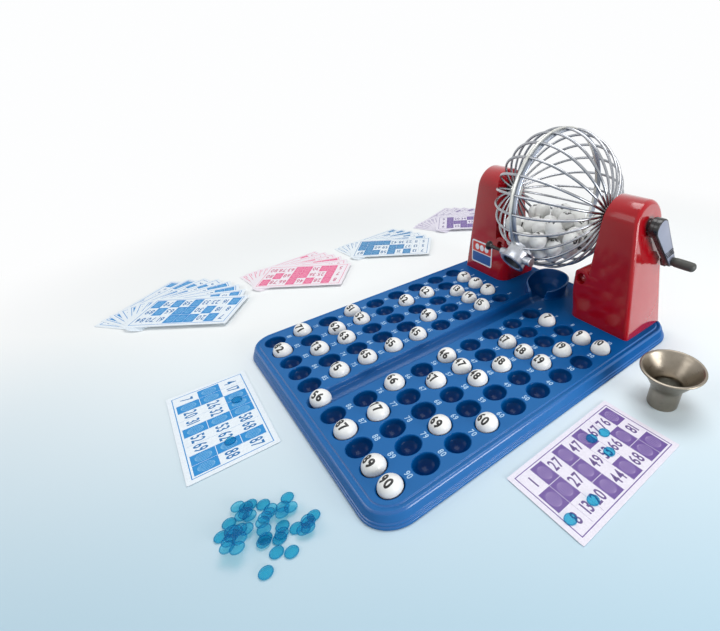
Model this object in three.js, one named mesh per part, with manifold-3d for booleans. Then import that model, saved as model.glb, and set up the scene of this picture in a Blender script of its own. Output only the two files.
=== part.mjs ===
// A tabletop bingo game: a wire drum with a crank between two stands, on a tray with ninety ball pockets.
// The drum's outlet drops a ball into the catcher bowl, and the centre rail brings it to the near end.
// The funnel, the fanned and loose cards and the chips lie round the tray, set out for play.
//
// Lengths are millimetres. +Z is up, +Y runs from the player to the drum and +X is to the player's right.
// The origin is on the table, under the middle of the tray.

import * as THREE from 'three';
import { mergeGeometries, mergeVertices } from 'three/addons/utils/BufferGeometryUtils.js';
import Module from 'manifold-3d';

const wasm = await Module();
wasm.setup();

// Fits
const seatGap = 0.3;
const runningGap = 0.25;
const cutOverrun = 2;

// Balls and their pockets
const ballRadius = 10;
const pocketClearance = 0.9;
const pocketFacets = 8;
const columnPitch = 25.2;
const rowPitch = 32.26;
const centreAisle = 55.3;
const columnsPerSide = 5;
const rowCount = 9;

// Tray
const deckHeight = 14;
const trayWall = 1.8;
const pocketWall = 2.7;
const trayMargin = 28;
const trayBackMargin = 106;
const trayCornerRadius = 30;
const trayEdgeWidth = 6;
const deckBorder = 5;
const deckStep = 0.6;

// Centre rail and catcher bowl
const railClearance = 0.6;
const railEndSetback = 2;
const catcherMargin = 12;
const catcherRim = 17;
const catcherWall = 2;
const catcherSlope = 20;
const catcherFootRadius = 21.8;
const catcherOffset = 8;

// Drum
const drumRadius = 77;
const drumHalfLength = 71;
const wireRadius = 1.2;
const wiresPerHalf = 24;
const endPlateRadius = 11;
const endPlateThickness = 2.4;
const bandWidth = 6.6;
const bandThickness = 1;
const bandGap = 0.5;
const collarRadius = 7.5;
const collarLength = 3;
const heapDropShare = 0.396;
const heapBallSink = 2.5;

// Outlet
const outletRadius = 14;
const outletBore = 11;
const outletStandOff = 15;
const outletRootDepth = 6;
const outletPitch = 36;
const bossRadius = 4.6;
const bossReach = 24.5;
const bossSetback = 9.5;
const gatePinRadius = 1.9;
const gateTravel = 10;
const gateKnobRadius = 5.6;
const gateFaceLength = 2.5;
const gateKnobLength = 7;
const gateNeckRadius = 2.9;
const gateNeckLength = 4;
const gateKnobSetback = 9.8;
const capRadius = 5.2;
const capThickness = 2;
const sweepClearance = 4;

// Stands
const standDepth = 68;
const standBackMargin = 0.5;
const standWall = 2.2;
const towerWidth = 41.5;
const towerLean = 4.5;
const standSpread = 20;
const archRadius = 24;
const lobeRadius = 11;
const lobeHeight = 48.5;
const lobeClearance = 2;
const lobeEndAngle = 0.6;
const hubClearance = 6.5;
const standEdge = 6;
const recessRadius = 5.5;
const recessDepth = 7;

// Axle, bearings and crank
const axleRadius = 4;
const bearingWall = 2.6;
const bearingStandOut = 1.4;
const axleSocket = 8;
const crankStandOff = 1;
const crankHubRadius = 10;
const crankHubLength = 11;
const crankEndRadius = 6;
const crankLength = 44;
const crankThickness = 7;
const crankLean = 7;
const crankAngle = -59;
const gripRadius = 4.9;
const gripLength = 25;
const gripPinRadius = 2;
const gripPinSocket = 18;

// Funnel
const funnelNeckRadius = 14;
const funnelNeckLength = 20;
const funnelRimRadius = 28.5;
const funnelHeight = 42;
const funnelWall = 1;
const funnelLip = 2.4;
const funnelOffset = 52;
const funnelGap = 9.5;

// Cards and chips
const cardLength = 132;
const cardWidth = 75;
const cardThickness = 0.7;
const cardSink = 0.1;
const cardGap = 16;
const blueCardX = -55;
const blueCardTurn = -2;
const purpleCardY = -24;
const purpleCardTurn = 91;
const fanPivotInset = 14;
const fanGap = 160;
const firstFanY = -284;
const fanClearance = 5;
const fanCards = [8, 6, 6, 8];
const fanStepDegrees = [11, 9, 9, 9];
const fanTopTurn = 52;
const chipRadius = 5.6;
const chipThickness = 1.2;
const chipCount = 34;
const chipSpacing = 4.5;
const chipLayers = 3;
const chipPileOffset = 77;
const chipPileGap = 55;

// Facets
const roundFacets = 16;
const fineFacets = 24;
const bandFacets = 48;
const pinFacets = 12;
const wireFacets = 4;
const wireSteps = 5;
const cornerSteps = 5;
const ballFacets = 8;
const ballRings = 4;
const heapFacets = 6;
const heapRings = 4;
const chipFacets = 6;

// Places worked out from the sizes above
const trayHalfWidth = centreAisle / 2 + (columnsPerSide - 1) * columnPitch + trayMargin;
const trayLength = trayMargin + (rowCount - 1) * rowPitch + trayBackMargin;
const trayFrontY = -trayLength / 2;
const trayBackY = trayLength / 2;
const nearRowY = trayFrontY + trayMargin;
const pocketRadius = ballRadius + pocketClearance;
const pocketDepth = ballRadius + seatGap;
const railRadius = (ballRadius + railClearance) / Math.cos(Math.PI / roundFacets);
const outletReach = drumRadius + outletStandOff;
const outletSweep = Math.hypot(outletReach, outletRadius);
const axisHeight = catcherRim + outletSweep + sweepClearance;
const axisY = trayBackY - trayEdgeWidth - standBackMargin - standDepth / 2;
const axisZ = deckHeight + axisHeight;
const catcherY = axisY - catcherOffset;
const catcherRadius = outletRadius + catcherMargin;
const lobeDrop = axisHeight - lobeHeight - lobeRadius;
const standInnerX = Math.sqrt(drumRadius ** 2 - lobeDrop ** 2) + lobeClearance;
const towerInnerX = drumHalfLength + hubClearance;
const towerOuterX = towerInnerX + towerWidth;
const standOuterX = towerOuterX + standSpread;
const wireCentreRadius = drumRadius - wireRadius;
const lengthRatio = drumHalfLength / drumRadius;
const plateX = lengthRatio * Math.sqrt(wireCentreRadius ** 2 - endPlateRadius ** 2);
const bandOuterRadius = wireCentreRadius - wireRadius - bandGap;
const bearingRadius = axleRadius + runningGap + bearingWall;
const pitchRadians = THREE.MathUtils.degToRad(outletPitch);

// Solids

const flipFaces = (geometry) => {
  const index = geometry.index.array;
  for (let i = 0; i < index.length; i += 3) {
    [index[i], index[i + 1]] = [index[i + 1], index[i]];
  }
  return geometry;
};

const bare = (geometry) => {
  const copy = geometry.clone();
  copy.deleteAttribute('normal');
  copy.deleteAttribute('uv');
  return mergeVertices(copy);
};

const toSolid = (geometry) => {
  const merged = bare(geometry);
  return new wasm.Manifold(new wasm.Mesh({
    numProp: 3,
    vertProperties: new Float32Array(merged.attributes.position.array),
    triVerts: new Uint32Array(merged.index.array),
  }));
};

const toGeometry = (solid) => {
  const { vertProperties, triVerts, numProp } = solid.getMesh();
  const positions = new Float32Array((vertProperties.length / numProp) * 3);
  for (let i = 0; i < positions.length / 3; i += 1) {
    positions.set(vertProperties.slice(i * numProp, i * numProp + 3), i * 3);
  }
  const geometry = new THREE.BufferGeometry();
  geometry.setAttribute('position', new THREE.BufferAttribute(positions, 3));
  geometry.setIndex(new THREE.BufferAttribute(new Uint32Array(triVerts), 1));
  return geometry;
};

const join = (...geometries) => toGeometry(geometries.map(toSolid).reduce((sum, next) => sum.add(next)));

const cut = (geometry, ...cutters) => (
  toGeometry(cutters.map(toSolid).reduce((rest, next) => rest.subtract(next), toSolid(geometry)))
);

const common = (a, b) => toGeometry(toSolid(a).intersect(toSolid(b)));

// Cutters that stay clear of each other go in as one set, which takes one cut.
const cutSet = (geometry, cutters) => cut(geometry, mergeGeometries(cutters.map(bare)));

const mirrored = (geometry) => flipFaces(bare(geometry).scale(-1, 1, 1));

// A prism along +X from x = start: the shape's own x and y lie along Y and Z.
const alongX = (shape, start, length, bevel = 0) => {
  const geometry = new THREE.ExtrudeGeometry(shape, {
    depth: length - 2 * bevel,
    curveSegments: roundFacets / 2,
    bevelEnabled: bevel > 0,
    bevelThickness: bevel,
    bevelSize: bevel,
    bevelOffset: -bevel,
    bevelSegments: 2,
  });
  const turn = new THREE.Matrix4().makeBasis(
    new THREE.Vector3(0, 1, 0),
    new THREE.Vector3(0, 0, 1),
    new THREE.Vector3(1, 0, 0),
  );
  return geometry.applyMatrix4(turn).translate(start + bevel, 0, 0);
};

// A prism along -Y from y = start: the shape's own x and y lie along X and Z.
const alongMinusY = (shape, start, length) => {
  const geometry = new THREE.ExtrudeGeometry(shape, {
    depth: length,
    curveSegments: roundFacets / 2,
    bevelEnabled: false,
  });
  return geometry.rotateX(Math.PI / 2).translate(0, start, 0);
};

// A turned solid about Z, from [radius, height] points that rise from the axis and come back to it.
const turned = (points, facets = roundFacets) => {
  const profile = points.map(([radius, height]) => new THREE.Vector2(radius, height));
  return new THREE.LatheGeometry(profile, facets).rotateX(Math.PI / 2);
};

const rodX = (radius, start, end, facets = roundFacets) => (
  new THREE.CylinderGeometry(radius, radius, end - start, facets)
    .rotateZ(Math.PI / 2)
    .translate((start + end) / 2, 0, 0)
);

const tubeX = (outer, bore, start, end, facets = roundFacets) => (
  cut(rodX(outer, start, end, facets), rodX(bore, start - cutOverrun, end + cutOverrun, facets))
);

// A faceted hole that a faceted rod of the given radius turns in without touching.
const boreFor = (radius, gap, facets = roundFacets) => (radius + gap) / Math.cos(Math.PI / facets);

// One level of the tray: a rounded rectangle, drawn in by inset, at height z.
const trayRing = (inset, z) => {
  const radius = Math.max(trayCornerRadius - inset, trayWall);
  const reachX = trayHalfWidth - inset - radius;
  const reachY = trayLength / 2 - inset - radius;
  const corners = [[1, 1], [-1, 1], [-1, -1], [1, -1]];
  const ring = [];
  corners.forEach(([signX, signY], corner) => {
    for (let step = 0; step <= cornerSteps; step += 1) {
      const angle = (corner + step / cornerSteps) * Math.PI / 2;
      ring.push([signX * reachX + radius * Math.cos(angle), signY * reachY + radius * Math.sin(angle), z]);
    }
  });
  return ring;
};

// A closed solid through a stack of rings, lowest first.
const loft = (rings) => {
  const count = rings[0].length;
  const positions = rings.flat(2);
  const bottomZ = rings[0][0][2];
  const topZ = rings[rings.length - 1][0][2];
  const bottomCentre = rings.length * count;
  const topCentre = bottomCentre + 1;
  positions.push(0, 0, bottomZ, 0, 0, topZ);
  const index = [];
  for (let k = 0; k < count; k += 1) {
    const next = (k + 1) % count;
    for (let level = 0; level < rings.length - 1; level += 1) {
      const low = level * count;
      const high = low + count;
      index.push(low + k, low + next, high + next, low + k, high + next, high + k);
    }
    const top = (rings.length - 1) * count;
    index.push(bottomCentre, next, k, topCentre, top + k, top + next);
  }
  const geometry = new THREE.BufferGeometry();
  geometry.setAttribute('position', new THREE.Float32BufferAttribute(positions, 3));
  geometry.setIndex(index);
  return geometry;
};

// Places

const columnX = (column) => {
  const side = column < columnsPerSide ? -1 : 1;
  const steps = column < columnsPerSide ? columnsPerSide - 1 - column : column - columnsPerSide;
  return side * (centreAisle / 2 + steps * columnPitch);
};

// Pocket 1 is at the far left, and each row of ten runs to the right.
const pocketPlace = (number) => {
  const column = (number - 1) % (2 * columnsPerSide);
  const row = Math.floor((number - 1) / (2 * columnsPerSide));
  return [columnX(column), nearRowY + (rowCount - 1 - row) * rowPitch];
};

// Tray

const edgeShares = [
  [0, 0], [0, 0.22], [0.25, 0.27], [0.25, 0.5], [0.55, 0.56], [0.6, 0.8], [0.75, 0.94], [1, 1],
];
const pocketShares = [[1, 0], [0.77, 0.64], [0.3, 1]];

const pocketCutter = (x, y) => {
  const acrossFlats = pocketRadius / Math.cos(Math.PI / pocketFacets);
  const wall = pocketShares.map(([out, down]) => [acrossFlats * out, -pocketDepth * down]).reverse();
  const points = [[0, -pocketDepth], ...wall, [acrossFlats, cutOverrun], [0, cutOverrun]];
  return turned(points, pocketFacets)
    .rotateZ(Math.PI / pocketFacets)
    .translate(x, y, deckHeight);
};

const pocketBar = (y) => {
  const profile = new THREE.Shape();
  const depth = pocketDepth + 2 * trayWall;
  const half = pocketShares.map(([out, down]) => [
    pocketRadius * out + pocketWall,
    Math.min(deckHeight - trayWall / 2, deckHeight + trayWall - depth * down),
  ]);
  [...half, ...half.map(([out, z]) => [-out, z]).reverse()].forEach(([out, z], corner) => {
    profile[corner ? 'lineTo' : 'moveTo'](out, z);
  });
  const reach = columnX(2 * columnsPerSide - 1) + pocketRadius + 2 * trayWall;
  return alongX(profile, -reach, 2 * reach).translate(0, y, 0);
};

const railCutter = () => {
  const length = catcherY - nearRowY + railEndSetback;
  const trough = new THREE.CylinderGeometry(railRadius, railRadius, length, roundFacets)
    .translate(0, catcherY - length / 2, 0);
  const end = new THREE.SphereGeometry(railRadius, roundFacets, roundFacets / 2)
    .translate(0, nearRowY - railEndSetback, 0);
  return join(trough, end).translate(0, 0, deckHeight);
};

const catcherInnerShares = [[0, -0.62], [0.38, -0.57], [0.62, -0.35], [0.78, 0], [0.92, 0.45], [1, 1]];

const catcherCutter = () => {
  const inner = catcherRadius - catcherWall;
  const wall = catcherInnerShares.map(([out, up]) => [inner * out, deckHeight + catcherRim * up]);
  const top = deckHeight + catcherRim + cutOverrun;
  return turned([...wall, [inner, top], [0, top]]).translate(0, catcherY, 0);
};

const catcherShell = () => {
  const rim = deckHeight + catcherRim;
  const body = turned([
    [0, 0],
    [catcherFootRadius, 0],
    [catcherFootRadius, deckHeight],
    [catcherRadius, rim],
    [0, rim],
  ]).translate(0, catcherY, 0);
  const slope = new THREE.Shape();
  const nearY = catcherY - catcherRadius;
  slope.moveTo(nearY - cutOverrun, deckHeight);
  slope.lineTo(nearY + catcherWall, deckHeight);
  slope.lineTo(nearY + catcherWall + catcherSlope, rim + seatGap);
  slope.lineTo(nearY - cutOverrun, rim + seatGap);
  return cut(body, alongX(slope, -catcherRadius - cutOverrun, 2 * (catcherRadius + cutOverrun)));
};

const makeTray = () => {
  const edgeHeight = deckHeight - deckStep;
  const shell = edgeShares.map(([inward, up]) => trayRing(trayEdgeWidth * inward, edgeHeight * up));
  shell.push(trayRing(trayEdgeWidth + deckBorder, edgeHeight));
  shell.push(trayRing(trayEdgeWidth + deckBorder + deckStep, deckHeight));
  const hollow = [
    trayRing(trayEdgeWidth, -cutOverrun),
    trayRing(trayEdgeWidth + trayWall, edgeHeight - trayWall),
  ];
  const railHalf = railRadius + trayWall;
  const railFrontY = nearRowY - railEndSetback - railHalf;
  const railTop = deckHeight - trayWall / 2;
  const railBar = new THREE.BoxGeometry(2 * railHalf, catcherY - railFrontY, railTop)
    .translate(0, (catcherY + railFrontY) / 2, railTop / 2);
  const bars = [];
  for (let row = 0; row < rowCount; row += 1) {
    bars.push(pocketBar(nearRowY + row * rowPitch));
  }
  const block = join(cut(loft(shell), loft(hollow)), railBar, ...bars, catcherShell());
  const pockets = [];
  for (let number = 1; number <= 2 * columnsPerSide * rowCount; number += 1) {
    pockets.push(pocketCutter(...pocketPlace(number)));
  }
  return cutSet(cut(block, railCutter(), catcherCutter()), pockets);
};

// Stands: the right one is drawn, and the left one is its mirror image. The outer face leans in as it rises.

const outerFaceX = (height) => standOuterX - (standSpread * height) / axisHeight;

// The side view, in Y and Z: straight sides that run up into a round top.
const archShape = (inset, bottom) => {
  const halfBase = standDepth / 2 - inset;
  const radius = archRadius - inset;
  const start = Math.acos(radius / Math.hypot(halfBase, axisHeight)) - Math.atan2(axisHeight, halfBase);
  const shape = new THREE.Shape();
  shape.moveTo(halfBase, bottom);
  shape.lineTo(radius * Math.cos(start), axisHeight + radius * Math.sin(start));
  shape.absarc(0, axisHeight, radius, start, Math.PI - start, false);
  shape.lineTo(-halfBase, bottom);
  return shape;
};

// The front view, in X and Z: the low round lobe beside the leaning tower.
const standOutline = (inset, bottom) => {
  const radius = lobeRadius - inset;
  const centreX = standInnerX + lobeRadius;
  const footX = centreX + lobeRadius * Math.cos(lobeEndAngle) + inset;
  const footZ = lobeHeight + lobeRadius * Math.sin(lobeEndAngle);
  const top = axisHeight + archRadius + cutOverrun;
  const shape = new THREE.Shape();
  shape.moveTo(standInnerX + inset, bottom);
  shape.lineTo(standInnerX + inset, lobeHeight);
  shape.absarc(centreX, lobeHeight, radius, Math.PI, lobeEndAngle, true);
  shape.lineTo(footX, footZ);
  shape.quadraticCurveTo(towerInnerX + inset, axisHeight, towerInnerX + towerLean + inset, top);
  shape.lineTo(standOuterX + cutOverrun, top);
  shape.lineTo(standOuterX + cutOverrun, bottom);
  return shape;
};

const standBlock = (inset, bottom, bevel) => {
  const arch = alongX(
    archShape(inset, bottom),
    standInnerX + inset,
    standOuterX - standInnerX - 2 * inset,
    bevel,
  );
  const places = arch.attributes.position;
  for (let i = 0; i < places.count; i += 1) {
    if (places.getX(i) > (standInnerX + standOuterX) / 2) {
      places.setX(i, places.getX(i) + outerFaceX(places.getZ(i)) - standOuterX);
    }
  }
  const outline = alongMinusY(standOutline(inset, bottom), standDepth, 2 * standDepth);
  return common(arch, outline);
};

const makeStand = (isDriven) => {
  const outer = standBlock(0, 0, standEdge);
  const shell = cut(outer, standBlock(standWall, -cutOverrun, standEdge - standWall));
  const recessX = standInnerX + lobeRadius;
  const frontY = -standDepth / 2 + (standDepth / 2 - archRadius) * lobeHeight / axisHeight;
  const round = (radius, startY, endY) => (
    new THREE.CylinderGeometry(radius, radius, endY - startY, roundFacets)
      .translate(recessX, (startY + endY) / 2, lobeHeight)
  );
  const boss = round(recessRadius + standWall, frontY - standWall, frontY + recessDepth + standWall);
  const seat = common(boss, outer);
  const recess = round(recessRadius, frontY - standWall - cutOverrun, frontY + recessDepth);
  const holeEnd = isDriven ? standOuterX + cutOverrun : towerOuterX - towerWidth / 2;
  const hole = rodX(bearingRadius + seatGap, standInnerX, holeEnd).translate(0, 0, axisHeight);
  return cut(join(shell, seat), recess, hole);
};

// Drum: the drum's own frame has its axis along X through the origin. It is a little shorter than it is wide.

class MeridianCurve extends THREE.Curve {
  constructor(radius, startAngle, endAngle) {
    super();
    this.radius = radius;
    this.startAngle = startAngle;
    this.endAngle = endAngle;
  }

  getPoint(t) {
    const angle = this.startAngle + (this.endAngle - this.startAngle) * t;
    const x = lengthRatio * this.radius * Math.cos(angle);
    return new THREE.Vector3(x, this.radius * Math.sin(angle), 0);
  }
}

const wireShape = () => {
  const shape = new THREE.Shape();
  for (let k = 0; k < wireFacets; k += 1) {
    const angle = (k * 2 * Math.PI) / wireFacets;
    shape[k ? 'lineTo' : 'moveTo'](wireRadius * Math.cos(angle), wireRadius * Math.sin(angle));
  }
  return shape;
};

const outletAngle = Math.PI + pitchRadians;

// The outlet's own frame has +Z along its bore, away from the drum.
const outletFrame = (geometry) => geometry.rotateX(Math.PI / 2 + outletAngle - Math.PI);

const outletClearance = () => outletFrame(
  new THREE.CylinderGeometry(outletRadius + seatGap, outletRadius + seatGap, drumRadius, roundFacets)
    .rotateX(Math.PI / 2)
    .translate(0, 0, drumRadius),
);

const makeCageHalf = () => {
  const startAngle = Math.asin((endPlateRadius - wireRadius) / wireCentreRadius);
  const endAngle = Math.PI / 2 - wireRadius / 2 / wireCentreRadius;
  const wires = [];
  for (let k = 0; k < wiresPerHalf; k += 1) {
    const turn = outletAngle + ((k + 0.5) * 2 * Math.PI) / wiresPerHalf;
    const path = new MeridianCurve(wireCentreRadius, startAngle, endAngle);
    const wire = new THREE.ExtrudeGeometry(wireShape(), {
      steps: wireSteps,
      extrudePath: path,
      bevelEnabled: false,
    });
    wires.push(wire.rotateX(turn));
  }
  const plateStart = plateX - endPlateThickness / 2;
  const plate = tubeX(
    endPlateRadius,
    boreFor(axleRadius, seatGap),
    plateStart,
    plateStart + endPlateThickness,
  );
  return cut(join(plate, ...wires), outletClearance());
};

const makeBand = () => {
  const inner = bandOuterRadius - bandThickness;
  return cut(tubeX(bandOuterRadius, inner, -bandWidth / 2, bandWidth / 2, bandFacets), outletClearance());
};

const makeOutlet = () => {
  const root = drumRadius - outletRootDepth;
  const bossZ = outletReach - bossSetback;
  const bossEnd = bossReach - capThickness - seatGap;
  const outline = [[0, root], [outletRadius, root], [outletRadius, outletReach], [0, outletReach]];
  const barrel = turned(outline, fineFacets);
  const bosses = rodX(bossRadius, -bossReach, bossEnd, pinFacets).translate(0, 0, bossZ);
  const bore = new THREE.CylinderGeometry(outletBore, outletBore, drumRadius, fineFacets)
    .rotateX(Math.PI / 2)
    .translate(0, 0, outletReach);
  const pinBore = boreFor(gatePinRadius, runningGap, pinFacets);
  const pinHole = rodX(pinBore, -bossReach - cutOverrun, 0, pinFacets).translate(0, 0, bossZ);
  return outletFrame(cut(join(barrel, bosses), bore, pinHole));
};

const makeGatePlunger = () => {
  const knobStart = -bossReach - gateTravel - gateKnobSetback - gateNeckLength;
  const pin = rodX(gatePinRadius, knobStart + gateKnobLength, -outletBore, pinFacets);
  const knob = turned([
    [0, 0],
    [gateKnobRadius, 0],
    [gateKnobRadius, gateFaceLength],
    [gateNeckRadius, gateKnobLength],
    [gateNeckRadius, gateKnobLength + gateNeckLength],
    [0, gateKnobLength + gateNeckLength],
  ], pinFacets).rotateY(Math.PI / 2).translate(knobStart, 0, 0);
  return outletFrame(join(pin, knob).translate(0, 0, outletReach - bossSetback));
};

const makeGateCap = () => outletFrame(
  rodX(capRadius, bossReach - capThickness, bossReach, pinFacets)
    .translate(0, 0, outletReach - bossSetback),
);

// The balls left in the drum lie in a heap at its bottom. The heap's top layer shows as half balls.
const makeHeap = () => {
  const bowl = drumRadius - outletRootDepth - seatGap;
  const heapDrop = bowl * heapDropShare;
  const topAngle = Math.asin(heapDropShare);
  const points = [[0, -bowl]];
  const steps = roundFacets / 2;
  for (let k = 1; k <= steps; k += 1) {
    const angle = -Math.PI / 2 + ((Math.PI / 2 - topAngle) * k) / steps;
    points.push([bowl * Math.cos(angle), bowl * Math.sin(angle)]);
  }
  points.push([0, -heapDrop]);
  const reach = bowl * Math.cos(topAngle) - ballRadius;
  const pitch = 2 * ballRadius + seatGap;
  const rows = Math.floor(reach / pitch) + 1;
  const balls = [];
  for (let row = -rows; row <= rows; row += 1) {
    for (let k = -rows - 1; k <= rows + 1; k += 1) {
      const x = (k + (Math.abs(row) % 2) / 2) * pitch;
      const y = row * pitch * Math.sin(Math.PI / 3);
      if (Math.hypot(x / lengthRatio, y) <= reach) {
        balls.push(makeBall(heapFacets, heapRings).translate(x, y, -heapDrop - heapBallSink));
      }
    }
  }
  return join(turned(points).scale(lengthRatio, 1, 1), ...balls);
};

// Crank: the arm's own frame has its length along X and its thickness along Z.

const crankTurn = THREE.MathUtils.degToRad(crankAngle);
const crankStartX = outerFaceX(axisHeight - crankHubRadius) + crankStandOff;
const crankOuterX = crankStartX + crankHubLength;
const gripStartX = crankOuterX + crankLean + seatGap;
const gripY = crankLength * Math.cos(crankTurn);
const gripZ = crankLength * Math.sin(crankTurn);

const makeCrankArm = () => {
  const tangent = Math.acos((crankHubRadius - crankEndRadius) / crankLength);
  const outline = new THREE.Shape();
  outline.absarc(0, 0, crankHubRadius, tangent, 2 * Math.PI - tangent, false);
  outline.absarc(crankLength, 0, crankEndRadius, -tangent, tangent, false);
  const arm = new THREE.ExtrudeGeometry(outline, {
    depth: crankThickness,
    curveSegments: roundFacets / 2,
    bevelEnabled: false,
  });
  const places = arm.attributes.position;
  for (let i = 0; i < places.count; i += 1) {
    const along = THREE.MathUtils.clamp(places.getX(i) / crankLength, 0, 1);
    places.setZ(i, places.getZ(i) + crankLean * along);
  }
  const turn = new THREE.Matrix4().makeBasis(
    new THREE.Vector3(0, Math.cos(crankTurn), Math.sin(crankTurn)),
    new THREE.Vector3(0, -Math.sin(crankTurn), Math.cos(crankTurn)),
    new THREE.Vector3(1, 0, 0),
  );
  arm.applyMatrix4(turn).translate(crankOuterX - crankThickness, 0, 0);
  const hub = rodX(crankHubRadius, crankStartX, crankOuterX);
  const socket = rodX(boreFor(axleRadius, seatGap), crankStartX - cutOverrun, crankStartX + axleSocket);
  const pinBore = boreFor(gripPinRadius, seatGap, pinFacets);
  const pinHole = rodX(pinBore, crankStartX, gripStartX + cutOverrun, pinFacets).translate(0, gripY, gripZ);
  return cut(join(hub, arm), socket, pinHole);
};

const gripPinStartX = gripStartX - crankThickness + seatGap;

const makeGripPin = () => (
  rodX(gripPinRadius, gripPinStartX, gripStartX + gripPinSocket - seatGap, pinFacets)
);

const gripShares = [[0, 0], [0.86, 0], [0.86, 0.08], [1, 0.1], [1, 0.86], [0.7, 0.97], [0, 1]];

const makeGrip = () => {
  const profile = gripShares.map(([out, along]) => [gripRadius * out, gripLength * along]);
  const pinBore = boreFor(gripPinRadius, runningGap, pinFacets);
  const socket = rodX(pinBore, -cutOverrun, gripPinSocket, pinFacets);
  return cut(turned(profile).rotateY(Math.PI / 2), socket).translate(gripStartX, 0, 0);
};

// Balls, funnel, cards and chips

const makeBall = (facets = ballFacets, rings = ballRings) => (
  new THREE.SphereGeometry(ballRadius, facets, rings).rotateX(Math.PI / 2)
);

const makeFunnel = () => turned([
  [funnelNeckRadius, 0],
  [funnelNeckRadius, funnelNeckLength],
  [funnelRimRadius - funnelLip, funnelHeight - funnelLip],
  [funnelRimRadius, funnelHeight - funnelLip],
  [funnelRimRadius, funnelHeight],
  [funnelRimRadius - funnelLip, funnelHeight],
  [funnelNeckRadius - funnelWall, funnelNeckLength],
  [funnelNeckRadius - funnelWall, 0],
  [funnelNeckRadius, 0],
], fineFacets);

const makeCard = () => (
  new THREE.BoxGeometry(cardLength, cardWidth, cardThickness).translate(0, 0, cardThickness / 2)
);

// Cards spread like a hand of cards round a pivot near one corner. The top card lies along X.
const makeFan = (count, stepDegrees) => {
  const cards = [];
  for (let k = 0; k < count; k += 1) {
    const card = makeCard()
      .translate(cardLength / 2 - fanPivotInset, cardWidth / 2 - fanPivotInset, 0)
      .rotateZ(THREE.MathUtils.degToRad((count - 1 - k) * stepDegrees))
      .translate(0, 0, k * (cardThickness - cardSink));
    cards.push(card);
  }
  return join(...cards);
};

// Chips spread out from the middle at the golden angle, in layers that lap over each other.
const makeChips = () => {
  const goldenAngle = Math.PI * (3 - Math.sqrt(5));
  const chips = [];
  for (let k = 0; k < chipCount; k += 1) {
    const reach = chipSpacing * Math.sqrt(k);
    const layer = k % chipLayers;
    const chip = new THREE.CylinderGeometry(chipRadius, chipRadius, chipThickness, chipFacets)
      .rotateX(Math.PI / 2)
      .rotateZ(k)
      .translate(reach * Math.cos(k * goldenAngle), reach * Math.sin(k * goldenAngle), 0)
      .translate(0, 0, chipThickness / 2 + layer * (chipThickness - cardSink));
    chips.push(chip);
  }
  return join(...chips);
};

// Materials

const material = (color, roughness, metalness) => (
  new THREE.MeshStandardMaterial({ color, roughness, metalness })
);
const trayBlue = () => material('#1f5fae', 0.35, 0);
const standRed = () => material('#98101f', 0.15, 0);
const wireSilver = () => material('#b7bcc4', 0.3, 0.9);
const castSilver = () => material('#a9afb8', 0.4, 0.8);
const blackPlastic = () => material('#17181a', 0.45, 0);
const steel = () => material('#c4c6c8', 0.3, 1);
const ballWhite = () => material('#f3f0e6', 0.35, 0);
const funnelGrey = () => material('#8d877e', 0.4, 0.7);
const cardBlue = () => material('#4fb2e3', 0.7, 0);
const cardPink = () => material('#f0a3b5', 0.7, 0);
const cardPurple = () => material('#8f76b8', 0.7, 0);
const chipBlue = () => material('#2fa3c4', 0.2, 0);

// Assembly

const game = new THREE.Group();

const add = (name, geometry, look, x = 0, y = 0, z = 0, turnDegrees = 0) => {
  const mesh = new THREE.Mesh(geometry, look);
  mesh.name = name;
  mesh.position.set(x, y, z);
  mesh.rotation.z = THREE.MathUtils.degToRad(turnDegrees);
  game.add(mesh);
};

add('tray', makeTray(), trayBlue());
add('right_stand', makeStand(true), standRed(), 0, axisY, deckHeight);
add('left_stand', mirrored(makeStand(false)), standRed(), 0, axisY, deckHeight);

const atAxis = [0, axisY, axisZ];
const cageHalf = makeCageHalf();
add('right_cage_half', cageHalf, wireSilver(), ...atAxis);
add('left_cage_half', mirrored(cageHalf), wireSilver(), ...atAxis);
add('cage_band', makeBand(), wireSilver(), ...atAxis);
add('outlet_tube', makeOutlet(), castSilver(), ...atAxis);
add('gate_plunger', makeGatePlunger(), blackPlastic(), ...atAxis);
add('gate_cap', makeGateCap(), castSilver(), ...atAxis);

const axleStartX = plateX - endPlateThickness / 2 - seatGap;
const collarStartX = plateX + endPlateThickness / 2 + seatGap;
const collar = tubeX(
  collarRadius,
  boreFor(axleRadius, seatGap),
  collarStartX,
  collarStartX + collarLength,
);
const bearing = (endX) => (
  tubeX(bearingRadius, boreFor(axleRadius, runningGap), towerInnerX - bearingStandOut, endX)
);
const drivenEndX = outerFaceX(axisHeight - bearingRadius) + seatGap;
const blindEndX = outerFaceX(axisHeight + bearingRadius) - standWall - seatGap;
add('right_collar', collar, wireSilver(), ...atAxis);
add('left_collar', mirrored(collar), wireSilver(), ...atAxis);
add('right_bearing', bearing(drivenEndX), blackPlastic(), ...atAxis);
add('left_bearing', mirrored(bearing(blindEndX)), blackPlastic(), ...atAxis);
add('right_axle', rodX(axleRadius, axleStartX, crankStartX + axleSocket - seatGap), steel(), ...atAxis);
add('left_axle', mirrored(rodX(axleRadius, axleStartX, blindEndX - seatGap)), steel(), ...atAxis);

add('crank_arm', makeCrankArm(), blackPlastic(), ...atAxis);
add('grip_pin', makeGripPin(), steel(), 0, axisY + gripY, axisZ + gripZ);
add('crank_grip', makeGrip(), blackPlastic(), 0, axisY + gripY, axisZ + gripZ);

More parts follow.
